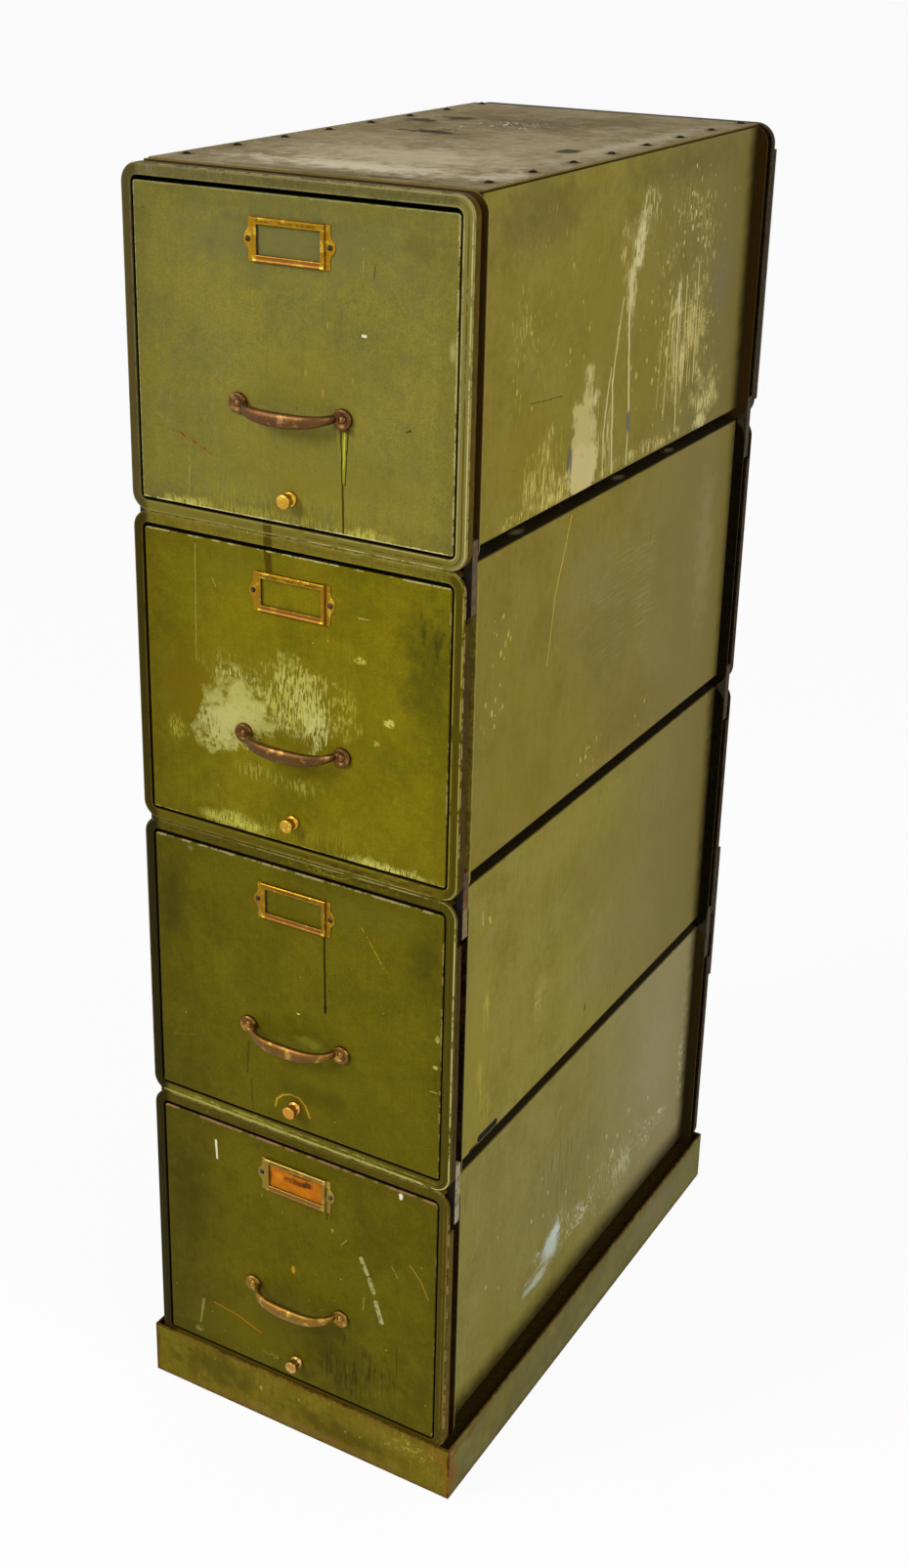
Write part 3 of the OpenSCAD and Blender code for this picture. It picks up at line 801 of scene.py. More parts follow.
# ---- how each piece has worn

CREAM = 0xCDBE86
DARK_RUN = 0x2C260A
GOLDEN = 0xBA9628
BLACK = 0x090703
NEAR_BLACK = 0x0C0904


def grained(fill: Fill, centre: Spot, radii: Spot, colour: Rgb, strength: float, grain: Point,
            ragged: float = 0.85, soft: float = 0.8) -> Patch:
    """A patch that streaks, flakes or flecks fill: their width, their height or spacing, and their share."""
    return Patch(centre, radii, colour, strength, ragged, soft, fill, grain)


streaks, flakes, flecks = (partial(grained, fill) for fill in (Fill.STREAKS, Fill.FLAKES, Fill.FLECKS))
tone = partial(Patch, ragged=0.75, soft=0.95)


@dataclass(frozen=True)
class Rim:
    """A rubbed line along one edge: its colour, how wide it is and how much of it is missing."""

    colour: Rgb
    strength: float = 0.8
    width: float = 1.6
    gaps: float = 0.4


@dataclass(frozen=True)
class FrontLook:
    """How one drawer front has worn: its enamel, how much painted shade darkens its left, and its four rims.
    """

    enamel: Enamel
    left_tone: float
    top: Rim
    right: Rim
    bottom: Rim
    left: Rim


@dataclass(frozen=True)
class CaseLook:
    """How one case has worn: its enamel, its rear tone (in section 4 partly a painted sheen), and how much
    painted shade darkens its foot and its rear end.
    """

    enamel: Enamel
    rear: Rgb
    low_shade: float
    low_reach: float
    rear_from: float


@dataclass(frozen=True)
class RingLook:
    """How one face frame has worn and is shaded: the tones of its four sides, the left one darker as painted
    shade, its lip, channel and rear flange, near black in sections 3 and 4 as painted shade, and the painted
    light lines along its roundings.
    """

    right: Rgb
    left: Rgb
    top: Rgb
    bottom: Rgb
    lip: Rgb
    channel: Rgb
    flange: Rgb
    line: float = 0.6
    # colours of the painted light lines along the outer and inner roundings of the face
    outer_line: Rgb = 0x8A803C
    inner_line: Rgb = 0x807634
    marks: tuple[Mark, ...] = ()


# the number after each front's enamel is how far the painted shade on its left darkens it, as a factor
FRONT_LOOKS = {
    1: FrontLook(
        # front 1's greyer enamel is partly a painted sheen of the light from above
        Enamel(0x7B7438, 0x706A31, 0x847930, fleck_share=0.03, run_share=0.05, brushed=0.025),
        0.9, Rim(0x96965C, 0.6, 1.5, 0.3), Rim(0xC8C07C, 0.8, 1.4, 0.35),
        Rim(0xD6D086, 0.9, 1.9, 0.35), Rim(0xBCC280, 0.8, 1.3, 0.25)),
    2: FrontLook(
        Enamel(0x74680A, 0x695E08, 0x7E710D, fleck_share=0.05, run_share=0.08, brushed=0.025),
        0.74, Rim(0xBEBA78, 0.75, 1.4, 0.5), Rim(0xC4B07E, 0.6, 1.1, 0.6),
        Rim(0xBAAE42, 0.85, 1.5, 0.4), Rim(0x8C8A42, 0.4, 1, 0.6)),
    3: FrontLook(
        Enamel(0x625908, 0x585007, 0x6A600A, fleck_share=0.05, run_share=0.06, brushed=0.025),
        0.8, Rim(0xA89868, 0.85, 1.9, 0.45), Rim(0xC4AA60, 0.75, 1, 0.5),
        Rim(0x786E2E, 0.4, 1.1, 0.5), Rim(0x707038, 0.4, 1, 0.6)),
    4: FrontLook(
        Enamel(0x5E5506, 0x524B05, 0x665C08, fleck_share=0.07, run_share=0.1, brushed=0.025),
        0.74, Rim(0x96704C, 0.9, 2.2, 0.42), Rim(0xAAA264, 0.5, 1.1, 0.6),
        Rim(0x746422, 0.4, 1.1, 0.5), Rim(0x403E10, 0.5, 1, 0.4)),
}

CASE_LOOKS = {
    1: CaseLook(
        Enamel(0x837526, 0x75681C, 0x897B30, fleck=0xCEB45C, fleck_share=0.12,
               run=0x92823C, run_share=0.08, brushed=0.03),
        0x706532, 0.2, 3, 278),
    2: CaseLook(
        Enamel(0x817220, 0x75671C, 0x85762E, fleck=0xC8B05C, fleck_share=0.05,
               run=0x685C24, run_share=0.1, brushed=0.03),
        0x796C3A, 0.2, 3, 288),
    3: CaseLook(
        Enamel(0x897C26, 0x7B6E20, 0x8D8136, fleck=0xC8B668, fleck_share=0.05,
               run=0x92864C, run_share=0.12, brushed=0.03),
        0x746836, 0.3, 3, 278),
    4: CaseLook(
        Enamel(0x82772E, 0x776E2A, 0x897F3A, fleck=0xCCC48C, fleck_share=0.07,
               run=0x625A28, run_share=0.12, brushed=0.03),
        0x948960, 0.88, 36, 280),
}

# the second tone of each frame, for its left side, is darker as painted shade
RING_LOOKS = {
    1: RingLook(0x7C733A, 0x4E4422, 0x645E34, 0x766C24, 0x5C4B0A, 0x704C0E,
                0x3E2C0E, 0.95, 0xB6AC6C, 0xA49A5C,
                (Line((-27, 14), (-26, -2), 10, 0x4A3608, 0.85, 0, 1, 0),
                 flakes((-150, 318), (6, 5), 0x746C64, 0.8, (2, 3, 0.7), soft=0.6))),
    2: RingLook(0x504608, 0x382E06, 0x70641E, 0x5C5009, 0x4C380E, 0x6A5214,
                0x8E7E30, 0.8, 0x9E9242, 0x8C8030,
                (Line((-27, 326), (-26, 310), 10, 0x443206, 0.85, 0, 1, 0),
                 streaks((44, 4), (90, 5), 0x302C08, 0.75, (14, 6, 0.8)),
                 flakes((120, 5), (50, 5), 0x807C28, 0.6, (8, 3, 0.6)))),
    # sections 3 and 4: the near-black channel and flange tones are painted shade
    3: RingLook(0x4E460A, 0x241E06, 0x50460A, 0x685F16, 0x46360C, 0x140E05,
                0x160F05, 0.15, 0xC4BC74, 0x423A0A,
                (flakes((-60, 5), (120, 6), 0x969238, 0.85, (16, 2.4, 0.8), soft=0.6),
                 Line((-168, 3), (150, 3), 1.8, 0xB0AC56, 0.8, 0, 1, 0.35),
                 flakes((70, 7), (110, 4), 0x96903C, 0.7, (16, 2.4, 0.7), soft=0.6),
                 flakes((30, 317), (110, 4), 0x969228, 0.7, (6, 2, 0.62)),
                 streaks((60, 319), (110, 3), 0x282406, 0.7, (22, 3, 0.8)))),
    4: RingLook(0x4A4109, 0x262005, 0x50460A, 0x52440C, 0x685416, 0x221906,
                0x281E08, 0.8, 0x846832, 0x544618,
                (streaks((0, 315), (170, 4), 0x322A08, 0.6, (30, 2, 0.8)),
                 streaks((60, 4), (120, 4), 0x74461A, 0.6, (16, 3, 0.75)))),
}

FRONT_MARKS: dict[int, tuple[Mark, ...]] = {}
FRONT_MARKS[1] = (
    tone((20, 60), (190, 60), 0x807420, 0.5),
    tone((25, 150), (90, 50), 0x867822, 0.4),
    streaks((0, 17), (176, 10), 0xA49834, 0.7, (1.3, 13, 0.8)),
    flakes((-118, 16), (40, 9), 0xBEB654, 0.85, (1.6, 12, 0.72)),
    flakes((74, 15), (52, 10), 0xC0B856, 0.85, (1.6, 12, 0.74)),
    streaks((0, 30), (176, 26), 0x968A2E, 0.5, (1.5, 22, 0.7)),
    Line((56, 113), (56.5, 64), 4.2, 0x968C16, 0.9, 0.5, 1.2, 0),
    Line((53, 112), (54.5, 60), 1.5, 0x342A06, 0.95, 0.2, 2, 0.1),
    Line((60.5, 112), (57.8, 60), 1.5, 0x342A06, 0.95, 0.2, 2, 0.1),
    Line((56.8, 108), (56, 76), 1.6, 0xCEC650, 0.9, 0.5, 1, 0.1),
    Line((49, 112), (51, 92), 1.6, 0xAAA028, 0.8, 0.6, 1.5, 0.1),
    Line((55, 60), (56, 14), 2.2, 0x3E2C0A, 0.95, 0, 1.2, 0),
    # painted shadow: dark halos round both rosettes of the handle, and a cast shadow below and right of the
    # right one
    Patch((60, 110), (10, 5), 0x544210, 0.75, 0.9, 0.7),
    tone((-55, 118), (15, 13), 0x60521A, 0.6),
    tone((56, 120), (15, 12), 0x60521A, 0.5),
    # a grey tone over the upper part of front 1: partly a painted sheen of the light from above
    tone((0, 268), (170, 54), 0x6A673C, 0.7),
    Line((-151, 88), (-122, 82), 1.2, 0x844218, 0.85, 0, 4, 0.65),
    Line((-122, 82), (-88, 68), 2, 0x843E14, 0.9, 0, 5, 0.5),
    Line((-113, 62), (-114, 16), 1.3, 0xAA9E4E, 0.6, 0, 2, 0.45),
    tone((134, 276), (34, 20), 0x5C5424, 0.45),
    flecks((152, 240), (16, 26), 0x544E22, 0.5, (3, 8, 0.8)),
    tone((6, 284), (110, 9), 0x5C5628, 0.4),
    flecks((36, 186), (52, 62), 0xB89C3C, 0.95, (2.4, 8, 0.45)),
    flecks((-120, 150), (40, 34), 0xAA9A42, 0.9, (2.4, 9, 0.4)),
    flecks((98, 78), (44, 14), 0x966E24, 0.6, (1.2, 4, 0.5)),
    Line((75, 196), (78, 196), 2.6, 0xE2DEBA, 1, 0, 0.5, 0.1),
    Line((75, 240), (75, 270), 0.9, 0xAAA05A, 0.6, 0, 1, 0.6),
    Line((86, 246), (87, 258), 0.8, DARK_RUN, 0.8, 0, 1, 0.2),
    Line((120, 118), (124, 120), 1.6, 0x3C3214, 0.9, 0, 1, 0.2),
    Patch((164, 194), (5, 14), 0xA8A25C, 0.75, 0.3, 0.9),
)
FRONT_MARKS[2] = (
    tone((-112, 150), (64, 90), 0x7A6608, 0.75),
    tone((-10, 160), (120, 70), 0x786B12, 0.65),
    tone((144, 225), (44, 90), 0x42400C, 0.6),
    streaks((150, 250), (30, 46), 0x32320A, 0.55, (6, 26, 0.7)),
    tone((-58, 286), (70, 40), 0x605C16, 0.4),
    streaks((62, 190), (9, 66), 0x847616, 0.7, (2, 34, 0.8)),
    flakes((-70, 180), (52, 26), 0x968C34, 0.8, (1.8, 10, 0.62)),
    flakes((-62, 176), (40, 14), 0xBEBA70, 0.85, (2.2, 9, 0.6)),
    Patch((-62, 142), (44, 36), 0xA09842, 0.85, 0.8, 0.5),
    flakes((-60, 138), (42, 34), 0xB2AC5C, 0.95, (5, 4, 0.95), soft=0.4),
    streaks((-62, 132), (34, 26), 0xBAB568, 0.9, (14, 4, 0.9), soft=0.6),
    flakes((-90, 106), (22, 18), 0xB2AC5A, 0.9, (5, 4, 0.9), ragged=1, soft=0.5),
    flakes((-88, 120), (36, 22), 0xBAB66A, 0.9, (2.5, 18, 0.95), soft=0.5),
    flakes((4, 164), (54, 46), 0xB0A84A, 0.95, (2.6, 15, 0.78), soft=0.45),
    flakes((2, 158), (48, 40), 0xBEB868, 0.95, (2, 12, 0.64), soft=0.5),
    flakes((30, 142), (16, 26), 0xC2BD70, 0.95, (2.6, 15, 0.78), soft=0.5),
    flakes((58, 160), (22, 46), 0xA09630, 0.9, (2.2, 12, 0.62)),
    flakes((-138, 107), (17, 17), 0xA69C32, 0.9, (2.2, 9, 0.66)),
    streaks((-46, 82), (26, 15), 0xA0983E, 0.8, (2.4, 18, 0.85)),
    streaks((4, 78), (54, 11), 0x9E9438, 0.8, (2.4, 14, 0.72)),
    flakes((74, 221), (8, 5), 0xBCB44C, 0.95, (3, 3, 0.85), soft=0.6),
    flakes((106, 166), (7, 5.5), 0xC4BC5C, 0.95, (3, 3, 0.9), ragged=1, soft=0.4),
    flakes((92, 142), (5, 4), 0xB0A83C, 0.9, (3, 3, 0.8), ragged=1, soft=0.6),
    flakes((-70, 22), (52, 12), 0xC4BE56, 0.9, (1.8, 10, 0.82)),
    flakes((104, 15), (70, 9), 0xCEC864, 0.9, (1.8, 9, 0.85)),
    streaks((0, 26), (176, 18), 0x928620, 0.6, (1.6, 16, 0.75)),
    Line((-109, 300), (-111, 184), 1.1, 0xB0A648, 0.75, 0, 1.5, 0.35),
    Line((-90, 270), (-86, 262), 0.9, 0xBAA03C, 0.8, 0, 1, 0.2),
    Line((-27, 312), (-25, 284), 9, 0x4E3A05, 0.9, 0.1, 1.2, 0),
    Line((72, 262), (84, 262), 0.9, 0xCEC682, 0.9, 0, 1.5, 0.5),
)
FRONT_MARKS[3] = (
    tone((-148, 240), (26, 76), 0x3E3A0A, 0.6),
    tone((148, 250), (26, 50), 0x3A380A, 0.5),
    tone((60, 280), (110, 26), 0x68601E, 0.35),
    tone((40, 60), (140, 60), 0x60560A, 0.4),
    Line((35, 246), (36, 163), 2.8, 0x242105, 0.92, 0, 0.8, 0),
    Line((36, 168), (36, 162), 4, 0x201E05, 0.92, 0.2, 0.5, 0),
    *(Line(start, finish, 2.2, GOLDEN, 0.85, 0, 0.3, 0.1)
      for start, finish in pairwise(
          ((-25, 32), (-23, 41), (-16, 48), (-6, 52), (4, 51), (12, 44), (17, 32)))),
    Line((78, 269), (103, 232), 1.7, 0xA88424, 0.85, 0, 2.5, 0.5),
    Line((103, 232), (111, 223), 0.8, 0xA48022, 0.5, 0.4, 2.5, 0.6),
    Line((-154, 76), (-126, 84), 0.9, 0x8A7E28, 0.6, 0, 3, 0.4),
    Line((-57, 97), (-60, 60), 3, 0x3C3606, 0.6, 0.3, 1.5, 0.3),
    Line((-55, 54), (-53, 18), 1.6, 0x383206, 0.6, 0, 1, 0.2),
    Patch((16, 121), (26, 8), 0x7E7A1E, 0.8, 0.8, 0.8),
    tone((20, 58), (70, 22), 0x464008, 0.5),
    flakes((162, 141), (4, 3), 0xBEB45A, 0.95, (3, 3, 0.9), soft=0.5),
    flakes((164, 173), (3, 5), 0xB4A850, 0.9, (3, 3, 0.85), soft=0.5),
    Line((157, 113), (165, 113), 1, 0xB0A646, 0.9, 0, 0.8, 0.3),
    Line((3, 150), (5, 150), 1.8, 0xD2C882, 0.95, 0, 0.5, 0.1),
    streaks((-124, 302), (5, 7), 0x82864A, 0.7, (1.6, 8, 0.9)),
    flecks((90, 110), (80, 90), 0xA08624, 0.8, (1.5, 13, 0.3)),
)
FRONT_MARKS[4] = (
    tone((-140, 200), (40, 110), 0x463E06, 0.5),
    tone((40, 74), (90, 60), 0x403A07, 0.65),
    streaks((70, 54), (70, 44), 0x302906, 0.85, (3, 40, 0.75)),
    tone((-60, 60), (110, 44), 0x62560A, 0.5),
    Line((-102, 284), (-101, 262), 3, 0xECEACC, 1, 0.25, 0.8, 0.05),
    Line((126, 302), (126, 299), 5, 0xECE8CE, 1, 0.2, 0.8, 0),
    Line((-124, 318), (-118, 300), 1, 0x968C3C, 0.7, 0, 3, 0.4),
    Line((80, 206), (87, 190), 5.4, 0xA8A668, 0.95, 0, 2, 0.35),
    Line((90, 184), (95, 170), 5.4, 0xA8A668, 0.95, 0, 2, 0.4),
    Line((98, 158), (105, 136), 5.6, 0xACAA70, 0.95, 0, 2, 0.35),
    Line((84, 158), (82, 140), 1.6, 0x8C8842, 0.8, 0.3, 3, 0.2),
    Line((116, 212), (124, 200), 1.4, 0x968C42, 0.7, 0, 2, 0.4),
    Line((138, 222), (152, 206), 1.4, 0xA88632, 0.8, 0, 1, 0.2),
    Line((152, 206), (160, 188), 1.3, 0xA88632, 0.8, 0.2, 1, 0.25),
    Line((-110, 70), (-78, 66), 1.5, 0xB07418, 0.9, 0, 1, 0.15),
    Line((-78, 66), (-48, 56), 1.5, 0xB07418, 0.9, 0.2, 1, 0.2),
    Line((-124, 68), (-129, 36), 3.4, 0x9C9850, 0.8, 0.3, 2, 0.2),
    flakes((-130, 26), (9, 6), 0xA8A258, 0.85, (3, 5, 0.8)),
    Line((56, 214), (62, 222), 1.2, 0xB49628, 0.8, 0, 2, 0.3),
    flecks((-46, 226), (24, 14), 0xC49C32, 0.95, (3.4, 8, 0.75)),
    flecks((-10, 166), (16, 22), 0xBA9222, 0.95, (3.4, 8, 0.7)),
    flecks((-84, 150), (60, 50), 0xA88220, 0.85, (2, 10, 0.35)),
    flecks((30, 226), (70, 20), 0xB49C46, 0.9, (2.6, 9, 0.6)),
    flecks((-132, 226), (16, 40), 0x825414, 0.7, (3, 13, 0.4)),
    Line((38, 246), (38, 238), 1.2, 0x181204, 0.9, 0.2, 0.8, 0.1),
    Line((124, 110), (124, 74), 1.2, 0x302605, 0.7, 0.3, 1, 0.3),
    Line((60, 100), (58, 84), 1.8, 0x2E1E05, 0.7, 0.4, 1, 0.2),
    flakes((-34, 32), (22, 5), 0x96903C, 0.7, (5, 3, 0.6)),
    streaks((60, 26), (110, 18), 0x6E6828, 0.4, (2, 14, 0.6)),
)

RIGHT_MARKS: dict[int, tuple[Mark, ...]] = {}
RIGHT_MARKS[1] = (
    tone((-190, 70), (150, 100), 0x88761C, 0.6),
    tone((-200, 290), (130, 50), 0x685A30, 0.6),
    tone((110, 300), (200, 30), 0x62582C, 0.55),
    tone((-60, 180), (90, 90), 0x807022, 0.45),
    tone((60, 110), (150, 110), 0x827122, 0.5),
    tone((232, 170), (44, 60), 0x746C4E, 0.6),
    flakes((38, 268), (26, 26), CREAM, 0.9, (2.4, 16, 0.68), soft=0.6),
    streaks((14, 236), (24, 34), 0xC4B270, 0.75, (2.4, 26, 0.9)),
    flakes((17, 236), (15, 34), 0xD4C892, 0.95, (2.4, 16, 0.9), soft=0.5),
    flakes((-16, 236), (16, 36), 0xC2B06C, 0.85, (2.4, 16, 0.68)),
    flakes((4, 196), (13, 44), 0xCCBE82, 0.9, (2.2, 30, 0.85), soft=0.6),
    Line((4, 212), (1, 168), 5, CREAM, 0.9, 0.3, 2, 0.15),
    Line((1, 170), (12, 70), 3.6, 0xD0C28A, 0.95, 0, 2.5, 0.05),
    Line((12, 70), (12, 18), 2.6, 0xD0C28A, 0.9, 0, 2.5, 0.1),
    Line((-14, 190), (-20, 160), 3, 0xC4B470, 0.75, 0, 3, 0.3),
    Line((-20, 162), (-30, 110), 3.2, 0xCCBC7C, 0.85, 0, 4, 0.2),
    Line((-30, 112), (-22, 18), 3.4, 0xD0C288, 0.9, 0, 4, 0.15),
    Line((-34, 124), (-46, 60), 2.8, 0xCCBC80, 0.85, 0, 5, 0.25),
    Line((-46, 62), (-42, 18), 2.6, 0xCCBC80, 0.85, 0, 5, 0.25),
    flakes((-36, 60), (20, 54), 0xC8B87C, 0.85, (2, 26, 0.66)),
    flakes((-90, 58), (30, 62), 0xC2B072, 0.92, (2.4, 16, 1.3), ragged=0.7, soft=0.3),
    flakes((-88, 34), (36, 34), 0xC8B87E, 0.92, (2.4, 16, 1.3), ragged=0.7, soft=0.3),
    flakes((-82, 116), (14, 26), 0xC4B270, 0.9, (2.2, 20, 0.85), soft=0.5),
    flecks((-88, 60), (30, 60), 0x96823C, 0.7, (1.6, 4.5, 0.35), ragged=0.6, soft=0.5),
    flakes((-64, 66), (14, 60), 0xCEBE82, 0.9, (2, 30, 0.7), soft=0.6),
    streaks((-118, 48), (7, 26), 0x52564E, 0.9, (3, 20, 1.1), soft=0.6),
    streaks((12, 60), (6, 16), 0x545A56, 0.85, (3, 20, 1.1), soft=0.6),
    streaks((142, 124), (74, 86), 0xBCAA5E, 0.85, (2.2, 60, 0.8)),
    flakes((146, 120), (60, 64), 0xCEBE7C, 0.9, (2.2, 60, 0.72)),
    flakes((122, 168), (10, 22), 0xD4C68C, 0.95, (2.4, 24, 0.85), soft=0.5),
    Line((122, 182), (124, 120), 4.2, CREAM, 0.9, 0.2, 2.5, 0.2),
    Line((124, 122), (132, 26), 3, 0xCEBE82, 0.9, 0.1, 3, 0.15),
    Line((104, 172), (100, 110), 2.6, 0xC8B670, 0.85, 0, 3, 0.25),
    Line((100, 112), (98, 46), 2.4, 0xC8B670, 0.85, 0.2, 3, 0.3),
    Line((84, 140), (80, 60), 2, 0xC4B26C, 0.75, 0.2, 3, 0.35),
    Line((140, 186), (142, 96), 2.4, 0xC8B670, 0.85, 0, 2, 0.25),
    Line((154, 160), (156, 70), 2.4, 0xC8B670, 0.85, 0.2, 2, 0.25),
    Line((170, 196), (172, 70), 2.6, 0xCCBA74, 0.85, 0.2, 2, 0.25),
    streaks((162, 140), (68, 30), 0xC4B268, 0.7, (40, 2.2, 0.7)),
    flakes((214, 48), (46, 40), 0xCEC07A, 0.9, (2.2, 16, 0.74)),
    flakes((196, 24), (22, 14), 0xD4C888, 0.9, (2.2, 10, 0.8), soft=0.6),
    flakes((70, 24), (130, 12), 0xCEBE78, 0.85, (2.2, 16, 0.64)),
    flakes((-172, 46), (56, 46), 0xC8B65C, 0.95, (2.2, 30, 0.66)),
    flakes((-150, 28), (64, 18), 0xCEBE68, 0.95, (2.2, 16, 0.76)),
    flakes((-158, 88), (8, 12), 0xCEC278, 0.9, (2.2, 16, 0.7)),
    flakes((-224, 20), (46, 10), 0xCABA5A, 0.9, (1.8, 7, 0.6)),
    flecks((-160, 170), (130, 130), 0xCEB254, 0.9, (2.4, 8, 0.46)),
    flakes((-190, 200), (70, 120), 0xC8B05A, 0.8, (2.2, 16, 0.4)),
    flecks((150, 232), (120, 90), 0xD6C678, 0.95, (2.4, 6, 0.5)),
    flakes((150, 220), (100, 90), 0xD2C274, 0.9, (2.2, 16, 0.44)),
    flecks((110, 120), (150, 110), 0xD4C270, 0.95, (2.4, 6, 0.46)),
    flecks((0, 60), (140, 60), 0xCEBC6A, 0.8, (1.8, 7, 0.35)),
    Line((-204, 124), (-138, 118), 1, 0x462E0A, 0.85, 0, 2.5, 0.35),
)
RIGHT_MARKS[2] = (
    tone((0, 170), (100, 110), 0x746836, 0.6),
    tone((-60, 240), (110, 60), 0x867A4A, 0.5),
    tone((120, 90), (90, 60), 0x847646, 0.5),
    tone((-170, 60), (130, 70), 0x80701A, 0.45),
    tone((60, 60), (120, 60), 0x766422, 0.5),
    tone((238, 190), (34, 130), 0x8E8252, 0.7),
    streaks((40, 190), (150, 110), 0x948858, 0.55, (50, 2, 0.66)),
    streaks((20, 230), (130, 30), 0x8E8250, 0.5, (50, 2, 0.7)),
    Line((-107, 318), (-135, 246), 2.2, 0xBAA442, 0.9, 0, 1.5, 0.25),
    Line((-135, 248), (-147, 176), 1.8, 0xBAA442, 0.85, 0.2, 1.5, 0.3),
    flecks((-232, 262), (36, 40), 0xD6BC58, 0.95, (3.4, 9, 0.5)),
    flecks((-250, 200), (40, 110), 0xCEB864, 0.85, (2.4, 7, 0.5)),
    flecks((-44, 44), (64, 28), 0xCCB860, 0.95, (2.4, 6, 0.6)),
    flecks((90, 40), (34, 36), 0xCCB860, 0.95, (2.4, 6, 0.55)),
    Line((90, 262), (84, 236), 1, 0x504214, 0.8, 0, 1.5, 0.4),
)
RIGHT_MARKS[3] = (
    tone((-262, 120), (44, 170), 0x8E842E, 0.6),
    tone((10, 210), (200, 80), 0x7E7034, 0.5),
    tone((60, 110), (150, 90), 0x847848, 0.5),
    streaks((10, 90), (80, 40), 0x8C8050, 0.5, (4, 22, 0.8)),
    streaks((150, 230), (110, 80), 0x887E50, 0.45, (2.4, 34, 0.7)),
    flakes((-134, 122), (14, 28), 0xB0A458, 0.85, (2, 6, 0.66)),
    Patch((-122, 132), (20, 22), 0xA0944C, 0.6, 0.9, 0.8),
    streaks((-250, 168), (9, 36), 0xB0A446, 0.8, (3, 34, 0.8)),
    streaks((-258, 90), (10, 40), 0xB0A242, 0.7, (2.4, 30, 0.8)),
    flakes((-246, 50), (14, 24), 0xB0962E, 0.8, (2.6, 12, 0.6)),
    Line((-263, 282), (-262, 268), 3, 0xACA664, 0.8, 0.2, 1, 0.2),
    Line((-249, 270), (-247, 264), 3.4, 0xCEB450, 0.95, 0.2, 1, 0.1),
    Patch((-16, 50), (3, 7), 0x403216, 0.85, 0.6, 0.7),
    flakes((300, 170), (6, 120), 0xB0B482, 0.6, (2, 12, 0.6)),
    Line((-256, 20), (-222, 20), 9, BLACK, 1, 0, 0.3, 0),
    Line((-275, 16), (-262, 16), 4, BLACK, 0.9, 0, 2, 0.2),
)
RIGHT_MARKS[4] = (
    tone((-60, 180), (150, 90), 0x7C7342, 0.5),
    tone((200, 190), (80, 90), 0x988E6C, 0.7),
    tone((-210, 110), (60, 90), 0x807832, 0.5),
    flakes((-60, 96), (60, 40), 0xC4CAB0, 0.9, (2.2, 16, 0.6)),
    streaks((-20, 170), (230, 110), 0x968E5C, 0.6, (2.2, 60, 0.62)),
    flecks((60, 120), (230, 80), 0xCECA96, 0.9, (2.4, 8, 0.4)),
    Patch((-74, 92), (26, 22), 0xC4CCBE, 0.9, 0.5, 0.6),
    Patch((-62, 106), (14, 14), 0xCCD4CC, 0.85, 0.6, 0.7),
    streaks((-96, 74), (52, 12), 0xB6C0A6, 0.75, (60, 2.2, 0.85), ragged=0.7),
    Patch((-110, 66), (40, 8), 0xBEC8B2, 0.7, 0.7, 0.8),
    flakes((16, 90), (46, 18), 0xCCCAA8, 0.95, (3.4, 8, 0.6)),
    flakes((-10, 82), (44, 10), 0xC4C096, 0.9, (9, 2.4, 0.62)),
    flakes((90, 90), (110, 50), 0xC0BC8C, 0.9, (2.2, 16, 0.58)),
    flakes((180, 92), (90, 24), 0xD2CEA8, 0.9, (2.4, 8, 0.52)),
    flakes((286, 160), (12, 120), 0xCECEAA, 0.9, (2.4, 7, 0.6)),
    flecks((-120, 150), (160, 100), 0xCECA96, 0.9, (2.4, 8, 0.4)),
    Line((-64, 273), (-90, 240), 1, 0xB0A874, 0.7, 0, 2, 0.4),
    streaks((-40, 180), (120, 90), 0x645A2C, 0.45, (5, 46, 0.62)),
)

LEFT_MARKS: dict[int, tuple[Mark, ...]] = {}
LEFT_MARKS[1] = (
    streaks((0, 120), (90, 110), 0xAA9C5A, 0.6, (3, 55, 0.6)),
    flecks((-120, 150), (120, 120), 0xCEB860, 0.8, (2.2, 10, 0.4)),
)
LEFT_MARKS[2] = (
    Line((40, 250), (120, 120), 1.4, 0xB0A060, 0.7, 0, 6, 0.4),
    streaks((40, 190), (150, 110), 0x908452, 0.4, (60, 2.6, 0.6)),
)
LEFT_MARKS[3] = (
    streaks((120, 60), (120, 60), 0xB0A264, 0.6, (3, 40, 0.5)),
)
LEFT_MARKS[4] = (
    streaks((-60, 80), (160, 40), 0xB8B48C, 0.6, (3, 18, 0.5)),
)

